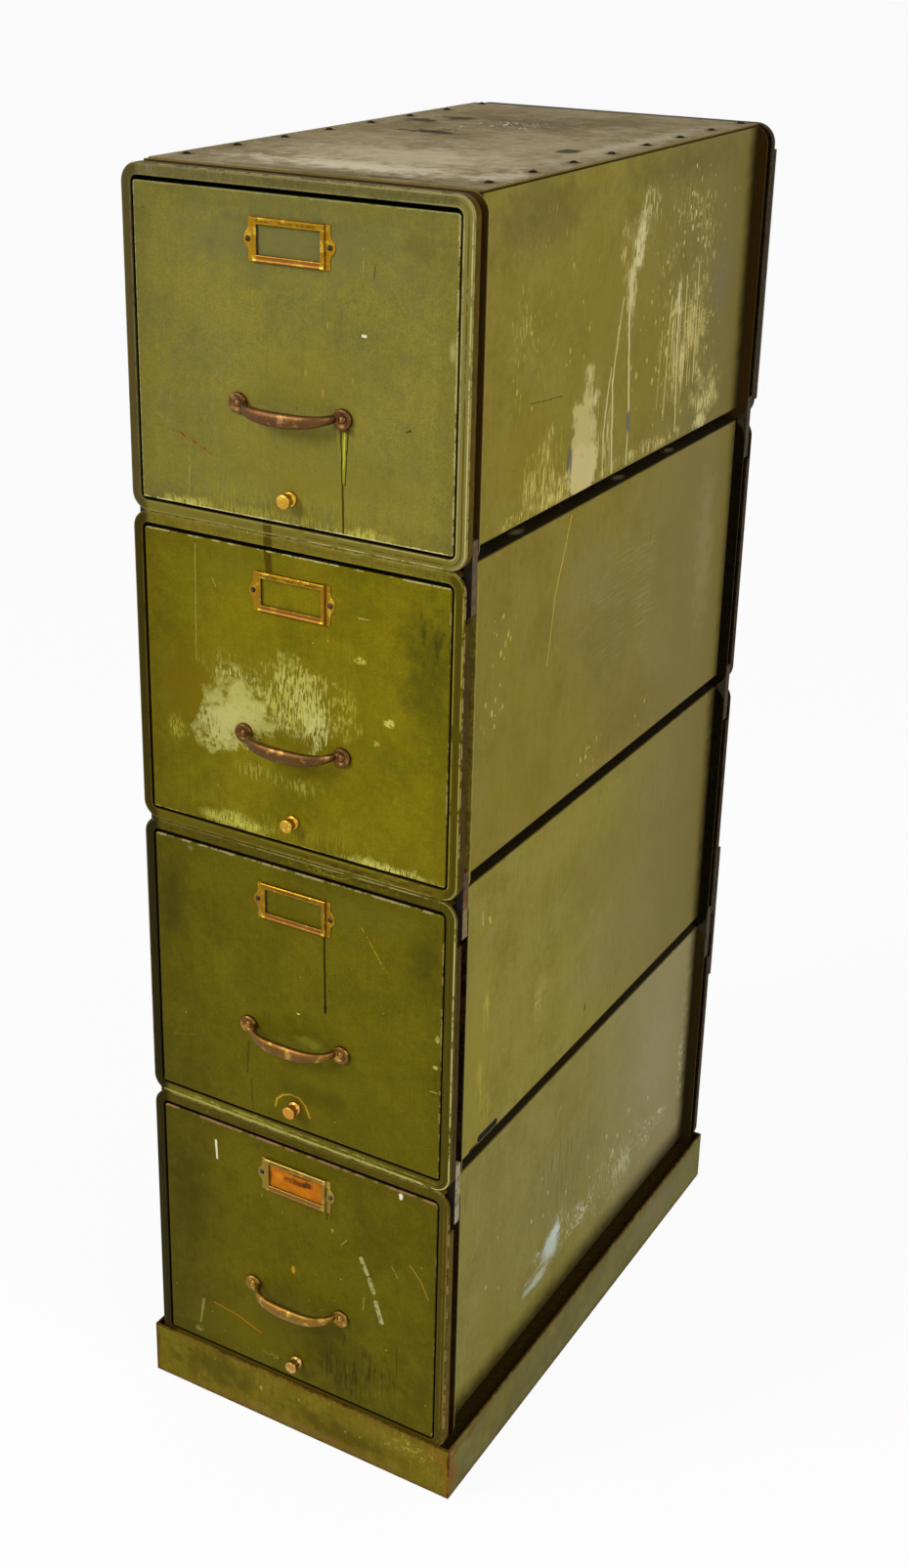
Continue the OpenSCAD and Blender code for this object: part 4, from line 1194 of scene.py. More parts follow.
TOP_MARKS: tuple[Mark, ...] = (
    tone((10, -240), (180, 44), 0xD8CCB0, 0.88),
    tone((20, -160), (180, 104), 0xBEAF90, 0.82),
    tone((70, -20), (90, 110), 0xA89978, 0.6),
    tone((142, 60), (26, 270), 0xB4A88A, 0.75),
    tone((150, -225), (30, 40), 0xD0C0AA, 0.7),
    tone((-20, 150), (110, 90), 0x584E30, 0.7),
    tone((-110, 60), (60, 60), 0x62563A, 0.5),
    tone((60, 220), (90, 60), 0x685C3E, 0.6),
    tone((-110, 250), (60, 50), 0x76664C, 0.6),
    Patch((-64, 24), (44, 18), 0x2C2110, 0.95, 1.1, 0.6),
    Patch((-128, 112), (24, 18), 0x322614, 0.9, 1.1, 0.6),
    Patch((-106, 150), (28, 20), 0x3C2E1A, 0.9, 1.1, 0.6),
    Patch((-60, 50), (20, 10), 0x463822, 0.7, 1.1, 0.7),
    Patch((117, -34), (13, 17), 0x382D1E, 0.95, 0.5, 0.3),
    flakes((127, 72), (13, 16), 0x60543C, 0.8, (3, 5, 0.7), soft=0.5),
    flecks((-40, 110), (60, 80), 0xDCD8C8, 0.95, (3.2, 7, 0.6)),
    flakes((-20, 130), (46, 44), 0xD6D0BE, 0.9, (5, 5, 0.56)),
    streaks((0, -120), (160, 170), 0xCEC4A8, 0.6, (34, 3, 0.62), ragged=0.7),
    streaks((20, -60), (150, 200), 0x746442, 0.5, (30, 4, 0.55), ragged=0.7),
    streaks((60, 90), (110, 200), 0xBAAE8E, 0.5, (26, 4, 0.6), ragged=0.7),
    Patch((0, -292), (180, 10), 0x70603E, 0.75, 0.6, 0.8),
    Patch((76, -290), (60, 9), 0x483A1E, 0.7, 0.9, 0.8),
)

BASE_SIDE_MARKS: tuple[Mark, ...] = (
    tone((-220, 40), (90, 30), 0x766822, 0.5),
    tone((200, 34), (140, 30), 0x7E7654, 0.5),
    flecks((60, 30), (280, 26), 0xB0A46E, 0.7, (1.6, 9, 0.35)),
    Patch((-326, 30), (14, 44), 0x80501A, 0.8, 1, 0.8),
    Patch((-290, 56), (40, 9), 0x604016, 0.7, 1.1, 0.8),
    Patch((0, 2), (340, 4), 0x544422, 0.6, 0.9, 0.8),
)

BASE_FRONT_MARKS: tuple[Mark, ...] = (
    Patch((-110, 36), (80, 34), 0x524808, 0.85, 1, 0.9),
    Patch((60, 22), (100, 26), 0x54490A, 0.85, 1.1, 0.9),
    Patch((0, 6), (190, 9), 0x806432, 0.6, 1, 0.8),
    tone((120, 46), (70, 24), 0x7E6C1E, 0.7),
    flecks((0, 40), (190, 26), 0xBAA846, 0.9, (2.6, 10, 0.5)),
    flakes((-60, 60), (130, 5), 0x968A3C, 0.7, (6, 2, 0.5)),
    Patch((176, 50), (16, 16), 0x805A16, 0.6, 1.2, 0.8),
    flakes((136, 44), (44, 16), 0x9C9236, 0.85, (6, 5, 0.66), ragged=1.2),
    Patch((190, 32), (8, 44), 0x96621C, 0.9, 1.1, 0.7),
    Patch((-188, 34), (5, 34), 0x3C2C0C, 0.6, 0.8, 0.8),
)

CARD_MARKS: tuple[Mark, ...] = (
    Patch((-20, 3), (10, 6), 0xDC9628, 0.6, 0.8, 0.8),
    Patch((-10, 3), (11, 5), 0x6A3408, 0.85, 1.4, 0.7),
    Patch((3, 1), (13, 4), 0x5C2C08, 0.85, 1.5, 0.7),
    Patch((14, 3), (7, 5), 0x4C2608, 0.9, 1.4, 0.7),
    # painted shadow of the holder's frame along the top and the left of the card
    Patch((4, 11), (26, 2.4), 0x46280A, 0.8, 1.2, 0.7),
    Patch((-32, 0), (2.4, 12), 0x60380A, 0.7, 0.9, 0.8),
)

BRONZES = {1: (0x6A4A2A, 0x4C321E, 0x96704A),
           2: (0x684926, 0x4A321A, 0x906C3C),
           3: (0x7C5828, 0x5A3E1C, 0xB08840),
           4: (0x8E6A2A, 0x664A1E, 0xB89444)}
HOLDER_BRASSES = {1: (0xA47C16, 0x7C521A, 0xCCA83C),
                  2: (0xA07816, 0x744C18, 0xC4A034),
                  3: (0x9C7618, 0x704A18, 0xBE9A36),
                  4: (0x967A28, 0x6C643C, 0xBA9E48)}
KNOB_BRASSES = {1: (0xCEA034, 0xA06E28, 0xECC864),
                2: (0xC8982E, 0x966424, 0xE6BE58),
                3: (0xCC9238, 0x9C6228, 0xE8B860),
                4: (0xB48638, 0x886C36, 0xCEB878)}


@dataclass(frozen=True)
class Metal:
    """A bare or tarnished metal with a mottled skin."""

    name: str
    base: Rgb
    tarnish: Rgb
    bright: Rgb
    tarnish_share: float = 0.5
    patch_size: float = 9.0
    roughness: float = 0.38
    rough_spread: float = 0.22
    metallic: float = 1.0
    pits: float = 0.02
    specular: float = 0.5

    def start(self, origin: Point = ORIGIN) -> Coat:
        """Mottles base, tarnish and bright rubbed places over the metal, and gives it fine pits.

        Args:
            origin: the point that places are counted from.

        Returns:
            The coat, ready for more.
        """
        coat = Coat(self.name, self.base, self.roughness, origin)
        coat.metal = self.metallic
        w = coat.w
        level = coat.use(mottled_coat, size=self.patch_size)
        coat.lay(w.times(level, self.tarnish_share), self.tarnish, self.roughness + self.rough_spread)
        rubbed = w.fade(w.noise(coat.world, self.patch_size * 0.7, 3.0), 0.54, 0.68)
        coat.lay(rubbed, self.bright, self.roughness)
        coat.grain(w.noise(coat.world, 0.9, 2.0), 0.86, 1.12)
        coat.raise_by(w.noise(coat.world, 0.9, 2.0), self.pits)
        return coat

    def material(self) -> Material:
        """The finished metal with no local marks."""
        return self.start().finish(self.specular)


# ---- numpy shapes


def link_object(name: str, data: bpy.types.ID) -> bpy.types.Object:
    """Makes an object of a mesh, lamp or camera and links it into the scene.

    Args:
        name: its name.
        data: the mesh, lamp or camera.

    Returns:
        The object.
    """
    made = bpy.data.objects.new(name, data)
    bpy.context.scene.collection.objects.link(made)
    return made


def grid_quads(rows: int, columns: int, close_rows: bool) -> np.ndarray:
    """Faces of a grid whose columns close: each joins a point to the next row and the next column.

    Args:
        rows: how many rows of points the grid has.
        columns: how many points a row has.
        close_rows: whether the last row joins the first.

    Returns:
        The faces, each as four indices.
    """
    i, j = np.meshgrid(np.arange(rows if close_rows else rows - 1), np.arange(columns), indexing="ij")
    below, right = (i + 1) % rows, (j + 1) % columns
    quads = np.stack([i * columns + j, below * columns + j, below * columns + right, i * columns + right], -1)
    return quads.reshape(-1, 4)


def signed_volume(points: np.ndarray, quads: np.ndarray) -> float:
    """Volume inside the quads by the sum of their corner tetrahedra.

    Args:
        points: the corners.
        quads: the faces, each as four indices.

    Returns:
        The volume, negative when the faces point inwards.
    """
    a, b, c, d = (points[quads[:, k]] for k in range(4))
    first = np.einsum("ij,ij->i", a, np.cross(b, c))
    second = np.einsum("ij,ij->i", a, np.cross(c, d))
    return float((first + second).sum() / 6.0)


class Skin:
    """Collects closed surfaces, each a numpy grid in millimetres, into one smooth piece."""

    def __init__(self, name: str) -> None:
        """Starts an empty piece.

        Args:
            name: the piece's name.
        """
        self.name = name
        self.points: list[np.ndarray] = []
        self.faces: list[list[int]] = []
        self.count = 0

    def add(self, grid: np.ndarray, close_rows: bool = False) -> "Skin":
        """Adds one closed surface.

        Args:
            grid: points, rows by columns by three, whose columns close round.
            close_rows: whether the last row joins the first; otherwise each end row gets a flat cap.

        Returns:
            The skin itself.
        """
        rows, columns, _ = grid.shape
        flat = grid.reshape(-1, 3)
        quads = grid_quads(rows, columns, close_rows)
        last = (rows - 1) * columns
        caps = [] if close_rows else [list(range(columns))[::-1], list(range(last, last + columns))]
        fans = [np.array([[cap[0], cap[k], cap[k + 1], cap[k + 1]] for k in range(1, columns - 1)])
                for cap in caps]
        faces = quads.tolist() + caps
        if signed_volume(flat - flat.mean(0), np.concatenate([quads, *fans])) < 0:
            faces = [face[::-1] for face in faces]
        self.faces += [[index + self.count for index in face] for face in faces]
        self.points.append(flat)
        self.count += len(flat)
        return self

    def build(self, material: Material, body: str, slot: str, replaces: str,
              sharp_above: float = 42.0) -> bpy.types.Object:
        """Makes the mesh, dresses it and hangs it on its body.

        Args:
            material: its finish.
            body: the body that it moves with.
            slot: not used.
            replaces: the solid that it stands for.
            sharp_above: edges turning more than this many degrees stay crisp.

        Returns:
            The piece's object.
        """
        mesh = bpy.data.meshes.new(self.name)
        points = np.concatenate(self.points) * MM
        mesh.from_pydata(points.tolist(), [], self.faces)
        mesh.validate()
        mesh.shade_smooth()
        mesh.set_sharp_from_angle(angle=math.radians(sharp_above))
        mesh.materials.append(material)
        piece = link_object(self.name, mesh)
        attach(piece, body)
        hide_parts(replaces)
        LOG.info("%s: %d points, %d faces, on %s", self.name, self.count, len(self.faces), body)
        return piece


def revolve_towards_front(profile: Sequence[Spot], centre: Point, segments: int = 72) -> np.ndarray:
    """Turns a profile about an axis that points out of the front.

    Point (k, a) lies at radius r_k in direction a round the axis, h_k in front of the centre.

    Args:
        profile: radius and forward reach of each ring, in millimetres.
        centre: where the axis meets the plane of reach nought.
        segments: points round each ring.

    Returns:
        A grid of rings by points by three.
    """
    radius, reach = np.array(profile, float).T
    angle = np.linspace(0.0, 2.0 * math.pi, segments, endpoint=False)
    x = centre[0] + radius[:, None] * np.cos(angle)
    z = centre[2] + radius[:, None] * np.sin(angle)
    y = centre[1] - np.repeat(reach[:, None], segments, 1)
    return np.stack([x, y, z], -1)


@dataclass(frozen=True)
class BowHandle:
    """A cast bow handle between two round rosettes, each with a raised rim round its screw."""

    half_span: float = 55.5
    half_bow: float = 47.5
    root: float = 2.0
    reach: float = 19.0
    drop: float = 4.0
    neck_h: float = 7.5
    neck_t: float = 6.0
    grip_h: float = 14.0
    grip_t: float = 9.0
    foot_z: float = 120.0
    rosette: tuple[Spot, ...] = ((9.5, 0.0), (9.75, 0.3), (9.75, 2.4), (9.45, 3.2), (8.8, 3.8), (8.2, 4.0),
                                 (7.1, 4.0), (6.3, 3.75), (5.5, 3.2), (4.9, 2.75), (4.4, 2.5), (0.01, 2.5))
    sections: int = 111
    round_points: int = 40

    def bow(self, centre: Point) -> np.ndarray:
        """The swept bow.

        With u from -1 to 1 the centre line is x = half_bow u, reach = root + reach (1 - |u|^4)^0.6 and
        drop (1 - u^2) downwards; the oval round it swells from neck to grip by 1 - |u|^2.2. The oval's
        sides are |cos|^0.85 and |sin|^0.92, a little squarer than an ellipse.

        Args:
            centre: the middle of the handle on the front's face.

        Returns:
            A grid of sections by points by three.
        """
        u = np.sin(np.linspace(-0.5, 0.5, self.sections) * math.pi)
        line = np.stack([self.half_bow * u,
                         -self.root - self.reach * np.maximum(0.0, 1.0 - u**4) ** 0.6,
                         -self.drop * (1.0 - u * u)], -1) + np.array(centre)
        along = np.gradient(line, axis=0)
        along /= np.linalg.norm(along, axis=1)[:, None]
        up = np.array([0.0, 0.0, 1.0])
        out = np.cross(along, up)
        out /= np.linalg.norm(out, axis=1)[:, None]
        swell = 1.0 - np.abs(u) ** 2.2
        half_h = 0.5 * (self.neck_h + (self.grip_h - self.neck_h) * swell)
        half_t = 0.5 * (self.neck_t + (self.grip_t - self.neck_t) * swell)
        angle = np.linspace(0.0, 2.0 * math.pi, self.round_points, endpoint=False)
        side, high = np.cos(angle), np.sin(angle)
        oval_side = np.sign(side) * np.abs(side) ** 0.85
        oval_high = np.sign(high) * np.abs(high) ** 0.92
        return (line[:, None, :] + out[:, None, :] * (half_t[:, None] * oval_side)[..., None]
                + up * (half_h[:, None] * oval_high)[..., None])

    def build(self, n: int, material: Material) -> None:
        """Builds the handle with both rosettes.

        Args:
            n: the drawer.
            material: its bronze.
        """
        centre = middle_point(n, self.foot_z, FACE_Y)
        skin = Skin(f"bow_handle_{n}").add(self.bow(centre))
        for side in (-1.0, 1.0):
            skin.add(revolve_towards_front(self.rosette, (side * self.half_span, centre[1], centre[2])))
        skin.build(material, f"drawer_{n}", "handle_bronze", f"handle_{n}")


@dataclass(frozen=True)
class LabelHolder:
    """A pressed brass label holder: a bevelled frame with a flat, eared flange at each side."""

    half_w: float = 37.5
    half_h: float = 19.5
    window_half_w: float = 33.0
    window_half_h: float = 13.0
    flange_x: float = 42.5
    ear_reach: float = 5.0
    ear_from: float = 1.5
    ear_to: float = 11.0
    plate_t: float = 1.0
    plate_edge: float = 0.35
    foot_z: float = 267.5
    bevel: tuple[Spot, ...] = ((0.0, 0.0), (0.0, 2.2), (0.05, 3.0), (0.14, 3.5), (0.24, 3.6), (0.34, 3.3),
                               (0.42, 2.95), (0.74, 2.75), (0.84, 2.9), (0.94, 2.7), (1.0, 2.2), (1.0, 0.0))
    heights: int = 79
    sharp_above: float = 25.0

    def frame(self, centre: Point) -> np.ndarray:
        """The bevelled frame.

        Share s of the way from rim to window gives a rectangle half_w - s (half_w - window_half_w) by
        half_h - s (half_h - window_half_h), which stands at the bevel's height for s.

        Args:
            centre: the holder's middle on the front's face.

        Returns:
            A grid of corners by bevel points by three, closed both ways.
        """
        share, height = np.array(self.bevel, float).T
        wide = self.half_w - share * (self.half_w - self.window_half_w)
        tall = self.half_h - share * (self.half_h - self.window_half_h)
        x = centre[0] + np.array([1.0, -1.0, -1.0, 1.0])[:, None] * wide
        z = centre[2] + np.array([1.0, 1.0, -1.0, -1.0])[:, None] * tall
        y = centre[1] - np.repeat(height[None, :], 4, 0)
        return np.stack([x, y, z], -1)

    def flange(self, centre: Point, side: float) -> np.ndarray:
        """The flat flange of one side, whose outer edge swells into an ogee ear at mid height.

        At height v the edge lies at flange_x + ear_reach bulge(|v|), where the bulge falls from one
        to nought as half a cosine between ear_from and ear_to.

        Args:
            centre: the holder's middle on the front's face.
            side: 1 for the right flange and -1 for the left.

        Returns:
            A grid of heights by five edge points by three.
        """
        v = np.linspace(-self.half_h, self.half_h, self.heights)
        t = np.clip((np.abs(v) - self.ear_from) / (self.ear_to - self.ear_from), 0.0, 1.0)
        edge = self.flange_x + self.ear_reach * (0.5 + 0.5 * np.cos(math.pi * t))
        inner = np.full_like(v, self.half_w - 1.0)
        xs = np.stack([inner, edge, edge, edge - self.plate_edge, inner], -1)
        lift = np.array([0.0, 0.0, self.plate_t - self.plate_edge, self.plate_t, self.plate_t])
        x = centre[0] + side * xs
        y = centre[1] - np.repeat(lift[None, :], len(v), 0)
        z = centre[2] + np.repeat(v[:, None], len(lift), 1)
        return np.stack([x, y, z], -1)

    def material(self, n: int, brass: Metal) -> Material:
        """The holder's brass, browner on its lower bar and painted black as shade on the walls of its window.

        Args:
            n: the drawer.
            brass: the brass that the rest of the holder shows.

        Returns:
            The material.
        """
        coat = brass.start(middle_point(n, self.foot_z))
        w = coat.w
        x, y, z = coat.axes("XYZ")
        wide = w.fade(w.calc("ABSOLUTE", x), self.window_half_w + 1.0, self.window_half_w - 1.0)
        low = w.times(w.fade(z, -self.window_half_h, -self.window_half_h - 1.0), wide)
        coat.lay(w.times(low, 0.75), 0x764A22, 0.5)
        high = coat.between(z, self.window_half_h + 1.6, self.window_half_h + 4.2, 0.8)
        rough = w.fade(w.noise(coat.world, 9.0, 3.0, 0.7), 0.42, 0.52)
        coat.lay(w.times(high, wide, w.times(rough, 0.8)), 0x5C3E14, 0.6)
        # painted shade: the walls of the window are near black
        inner = w.times(w.fade(w.calc("ABSOLUTE", x), self.window_half_w + 0.25, self.window_half_w),
                        w.fade(w.calc("ABSOLUTE", z), self.window_half_h + 0.25, self.window_half_h))
        coat.lay(w.times(inner, w.fade(y, FACE_Y - 2.2, FACE_Y - 1.4)), 0x221608, 0.8, 0.2)
        return coat.finish()

    def build(self, n: int, brass: Metal) -> None:
        """Builds the label holder.

        Args:
            n: the drawer.
            brass: its brass.
        """
        centre = middle_point(n, self.foot_z, FACE_Y)
        skin = Skin(f"label_frame_{n}").add(self.frame(centre), close_rows=True)
        for side in (-1.0, 1.0):
            skin.add(self.flange(centre, side))
        material = self.material(n, brass)
        skin.build(material, f"drawer_{n}", "holder_brass", f"label_holder_{n}", self.sharp_above)


@dataclass(frozen=True)
class TurnedKnob:
    """The turned knob on the end of a follower rod."""

    foot_z: float = 39.0
    profile: tuple[Spot, ...] = ((6.6, 0.3), (7.0, 0.6), (7.0, 2.8), (6.7, 3.2), (5.9, 3.6), (5.2, 4.2),
                                 (5.0, 5.0), (5.0, 6.4), (5.3, 7.4), (6.0, 8.4), (6.8, 9.2), (7.0, 9.7),
                                 (7.0, 13.2), (6.85, 13.7), (6.5, 14.1), (5.6, 14.5), (4.2, 14.8),
                                 (2.4, 14.95), (0.01, 15.0))
    sharp_above: float = 50.0

    def build(self, n: int, material: Material) -> None:
        """Builds the knob.

        Args:
            n: the drawer.
            material: its brass.
        """
        skin = Skin(f"turned_knob_{n}").add(
            revolve_towards_front(self.profile, middle_point(n, self.foot_z, FACE_Y)))
        skin.build(material, f"rod_{n}", "knob_brass", f"rod_knob_{n}", self.sharp_above)


# ---- dressing the solids


def dress(node: str, material: Material) -> None:
    """Gives a solid its finish through its material slots.

    Args:
        node: the solid's name.
        material: its finish.
    """
    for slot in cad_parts[node].material_slots:
        slot.material = material
    LOG.info("%s: %s", node, material.name)


@cache
def tray_enamel() -> Material:
    """The plain enamel that the four trays share."""
    enamel = Enamel(0x686232, 0x5E582C, 0x6E6632, run_share=0.03, fleck_share=0.02)
    return enamel.start("tray_enamel").finish(0.3)


@cache
def back_enamel() -> Material:
    """The plain enamel that the four backs share."""
    enamel = Enamel(0x685E24, 0x544A1A, 0x72672C, 120.0, fleck_share=0.05, brushed=0.03)
    return enamel.start("back_enamel").enamelled()


@dataclass
class DrawerFront:
    """The pressed front of drawer n and its tray."""

    n: int
    half_w: float = 168.0
    half_h: float = 146.75
    centre_z: float = 160.75
    corner: float = 3.0
    shade_to_x: float = -36.0

    def __post_init__(self) -> None:
        """Starts the enamel that the methods add to."""
        self.look = FRONT_LOOKS[self.n]
        self.coat = self.look.enamel.start(f"front_enamel_{self.n}", middle_point(self.n))

    def face(self) -> None:
        """Dirties the border, and lays the marks and a painted shade that darkens the front towards the left.
        """
        coat, w = self.coat, self.coat.w
        depth = outline_depth(w, where=coat.where, centre=(0.0, FACE_Y, self.centre_z),
                              half=(self.half_w, 900.0, self.half_h), corner=self.corner)
        border = coat.use(worn_edge, depth=depth, width=24.0, ragged=0.5)
        coat.lay(w.times(border, 0.16), 0x383208)
        coat.mark(FRONT_MARKS[self.n], Plane.FRONT)
        # painted shade: the front darkens towards its left edge
        coat.tint(w.fade(coat.axis("X"), -self.half_w, self.shade_to_x), self.look.left_tone, 1.0)

    def rims(self) -> None:
        """Rubs the four rims, each with its own line."""
        coat, w = self.coat, self.coat.w
        x, z = coat.axes("XZ")
        depths = {"left": w.calc("ADD", x, self.half_w), "right": w.calc("SUBTRACT", self.half_w, x),
                  "bottom": w.calc("SUBTRACT", z, self.centre_z - self.half_h),
                  "top": w.calc("SUBTRACT", self.centre_z + self.half_h, z)}
        for side, depth in depths.items():
            rim = getattr(self.look, side)
            coat.lay(w.times(coat.rubbed(depth, rim.width, rim.gaps), rim.strength), rim.colour, 0.55)

    def build(self) -> None:
        """Dresses the front, with painted shade in black on its turned-in sides, and the tray."""
        coat, w = self.coat, self.coat.w
        self.face()
        self.rims()
        # painted shade: the turned-in sides, in the gap to the frame, are painted black
        sides = w.fade(coat.axis("Y"), FACE_Y + 1.1, FACE_Y + 1.9)
        coat.lay(w.times(sides, 0.97), BLACK, 0.9)
        dress(f"drawer_front_{self.n}", coat.enamelled())
        dress(f"drawer_tray_{self.n}", tray_enamel())


@dataclass
class Case:
    """The case shell of section n and its back."""

    n: int
    foot_z: float = 15.0
    top_z: float = 324.0
    top_edge_z: float = 322.9
    sheet_t: float = 1.2
    rivet_x: float = 157.0
    rivet_y: float = -264.0
    rivet_pitch: float = 80.0
    inner_half_d: float = 305.2
    strip_y: float = -299.0

    def __post_init__(self) -> None:
        """Starts the enamel, toned to the rear, and finds the outer faces of the two walls."""
        self.look = CASE_LOOKS[self.n]
        coat = self.coat = self.look.enamel.start(f"case_enamel_{self.n}", middle_point(self.n))
        x, y = coat.axes("XY")
        # the walls turn towards a rear tone; in section 4 its paler rear tone is partly a painted sheen
        coat.lay(coat.w.times(coat.w.fade(y, -50.0, 250.0), 0.8), self.look.rear)
        self.skin = coat.w.fade(coat.w.calc("ABSOLUTE", x), CASE_HALF_W - 1.1, CASE_HALF_W - 0.7)

    def walls(self) -> None:
        """Lays the marks of both walls."""
        coat, w = self.coat, self.coat.w
        for marks, side in ((RIGHT_MARKS, "GREATER_THAN"), (LEFT_MARKS, "LESS_THAN")):
            gate = w.times(self.skin, w.calc(side, coat.axis("X"), 0.0))
            coat.mark(marks[self.n], Plane.SIDE, gate)

    def ends(self) -> None:
        """Paints shade on the rear and front ends of the walls and on their foot, with a painted highlight
        along the edge of the front-end shade in sections 3 and 4.
        """
        coat, w, look = self.coat, self.coat.w, self.look
        y, z = coat.axes("YZ")
        waver = w.ramp(coat.ground(Plane.SIDE).cloud, 16.0, -8.0)
        # painted shade towards the rear end of the walls, next to the rear frame
        rear = w.fade(w.calc("ADD", y, waver), look.rear_from, look.rear_from + 30.0)
        coat.lay(w.times(rear, 0.93), 0x1E1708, 0.7)
        # painted shade at the front end of the walls, next to the face frame's flange; near black in section
        # 3
        strip = 0x1C1408 if self.n == 3 else 0x604918
        coat.lay(w.times(w.fade(y, self.strip_y, self.strip_y - 4.5), 0.9), strip, 0.7)
        if self.n > 2:
            glint = coat.between(y, self.strip_y - 1.8, self.strip_y - 0.4, 0.4)
            coat.lay(w.times(glint, 0.75), 0xB0A868)
        # painted shade at the foot of the walls, deep in section 4 above the base's ledge
        height = w.ramp(waver, look.low_reach / 40.0, z)
        foot = w.fade(height, self.foot_z + look.low_reach, self.foot_z - 1.0)
        coat.lay(w.times(foot, look.low_shade), 0x1C1808, 0.8)

    def upper_edge(self) -> None:
        """Paints shade under the top sheet's edge along the top case's walls, with a black line of painted
        shade in the gap at their top front corner, or rubs the upper edge of a lower case's walls.
        """
        coat, w = self.coat, self.coat.w
        z = coat.axis("Z")
        if self.n == 1:
            # painted shadow under the overhanging edge of the top sheet
            edge = coat.between(z, self.top_edge_z - 2.5, self.top_edge_z, 0.5)
            coat.lay(w.times(edge, self.skin), 0x2C220E, 0.8)
            # painted shade in black in the gap between the wall and the face frame, at the top front corner
            corner = Line((-305, 323), (-304, 308), 2.2, BLACK, 1, 0, 0.5, 0)
            coat.mark([corner], Plane.SIDE, self.skin)
        else:
            line = coat.rubbed(w.calc("SUBTRACT", self.top_z, z), 2.0, 0.3)
            coat.lay(w.times(line, 0.7), 0x645834, 0.7)

    def inside(self) -> None:
        """Paints shade on the inside below the top sheet."""
        coat, w = self.coat, self.coat.w
        y, z = coat.axes("YZ")
        below_top = w.fade(z, self.top_z - 2.5, self.top_z - 1.5, 1.0, 0.0)
        within = w.fade(w.calc("ABSOLUTE", y), self.inner_half_d, self.inner_half_d + 1.0, 1.0, 0.0)
        inside = w.times(w.calc("SUBTRACT", 1.0, self.skin), below_top, within)
        # painted shade inside the case
        coat.lay(w.times(inside, 0.75), 0x2C2810, 0.7)

    def seam(self) -> None:
        """Paints shade in near black on the top sheet that shows in the seam under the next section, with
        soft painted highlights in section 2.
        """
        coat, w = self.coat, self.coat.w
        level = w.fade(coat.axis("Z"), self.top_z - self.sheet_t, self.top_z - 0.6)
        # painted shade in the seam between sections
        coat.lay(w.times(level, 0.96), 0x2E2414 if self.n == 4 else 0x1E160A, 0.9)
        if self.n == 2:
            # painted highlights in the seam
            spots = [Patch((162, y), (8, 16), 0x968C68, 0.6, 0.4, 0.9) for y in (-198, 20, 142)]
            coat.mark(spots, Plane.TOP, level, 0.8)

    def rivet_distance(self) -> Socket:
        """Finds the distance from the nearest rivet of the two rows, whose places repeat by the pitch.

        Returns:
            The distance in millimetres.
        """
        w = self.coat.w
        x, y = self.coat.axes("XY")
        half = self.rivet_pitch / 2
        across = w.calc("SUBTRACT", w.calc("ABSOLUTE", x), self.rivet_x)
        shifted = w.calc("ADD", y, 40.0 * self.rivet_pitch - self.rivet_y + half)
        along = w.calc("SUBTRACT", w.calc("MODULO", shifted, self.rivet_pitch), half)
        return w.arrow("LENGTH", w.join(across, along, 0.0))

    def dust(self) -> None:
        """Lays brown-grey dust, stains, wipe marks and rings round the rivets on the top sheet."""
        coat, w = self.coat, self.coat.w
        level = w.fade(coat.axis("Z"), self.top_z - self.sheet_t, self.top_z - 0.4)
        patches = coat.use(mottled_coat, size=60.0)
        coat.lay(level, w.mix(patches, 0x968766, 0x706242), 0.75)
        wiped = cut_level(w, level=coat.use(streak_level, stretch=(2.5, 70.0, 9.0)), share=0.35)
        coat.lay(w.times(wiped, w.times(level, 0.45)), 0xB0A486, 0.75)
        coat.mark(TOP_MARKS, Plane.TOP, level, 0.8)
        scattered = coat.use(specks, spacing=9.0, size=1.6, share=0.18)
        coat.lay(w.times(scattered, level), 0xC4B898, 0.75)
        away = w.ramp(coat.ground(Plane.TOP).cloud, 5.0, self.rivet_distance())
        coat.lay(w.times(w.fade(away, 8.6, 12.6, 1.0, 0.0), level, 0.65), 0x544224, 0.8)
        edge = w.calc("SUBTRACT", CASE_HALF_W - 1.0, w.calc("ABSOLUTE", coat.axis("X")))
        coat.lay(w.times(coat.rubbed(edge, 2.4, 0.3), level, 0.7), 0x927042, 0.8)

    def build(self) -> None:
        """Dresses the shell and the back panel."""
        self.walls()
        self.ends()
        self.upper_edge()
        self.inside()
        if self.n == 1:
            self.dust()
        else:
            self.seam()
        dress(f"case_shell_{self.n}", self.coat.enamelled())
        dress(f"back_panel_{self.n}", back_enamel())


def frame_outline(coat: Coat, half_w: float, corner: float = 18.0) -> Socket:
    """Depth from the outer edge of a frame, seen from the front."""
    half = (half_w, 9000.0, SECTION_H / 2)
    return outline_depth(coat.w, where=coat.where, centre=(0.0, 0.0, half[2]), half=half, corner=corner)


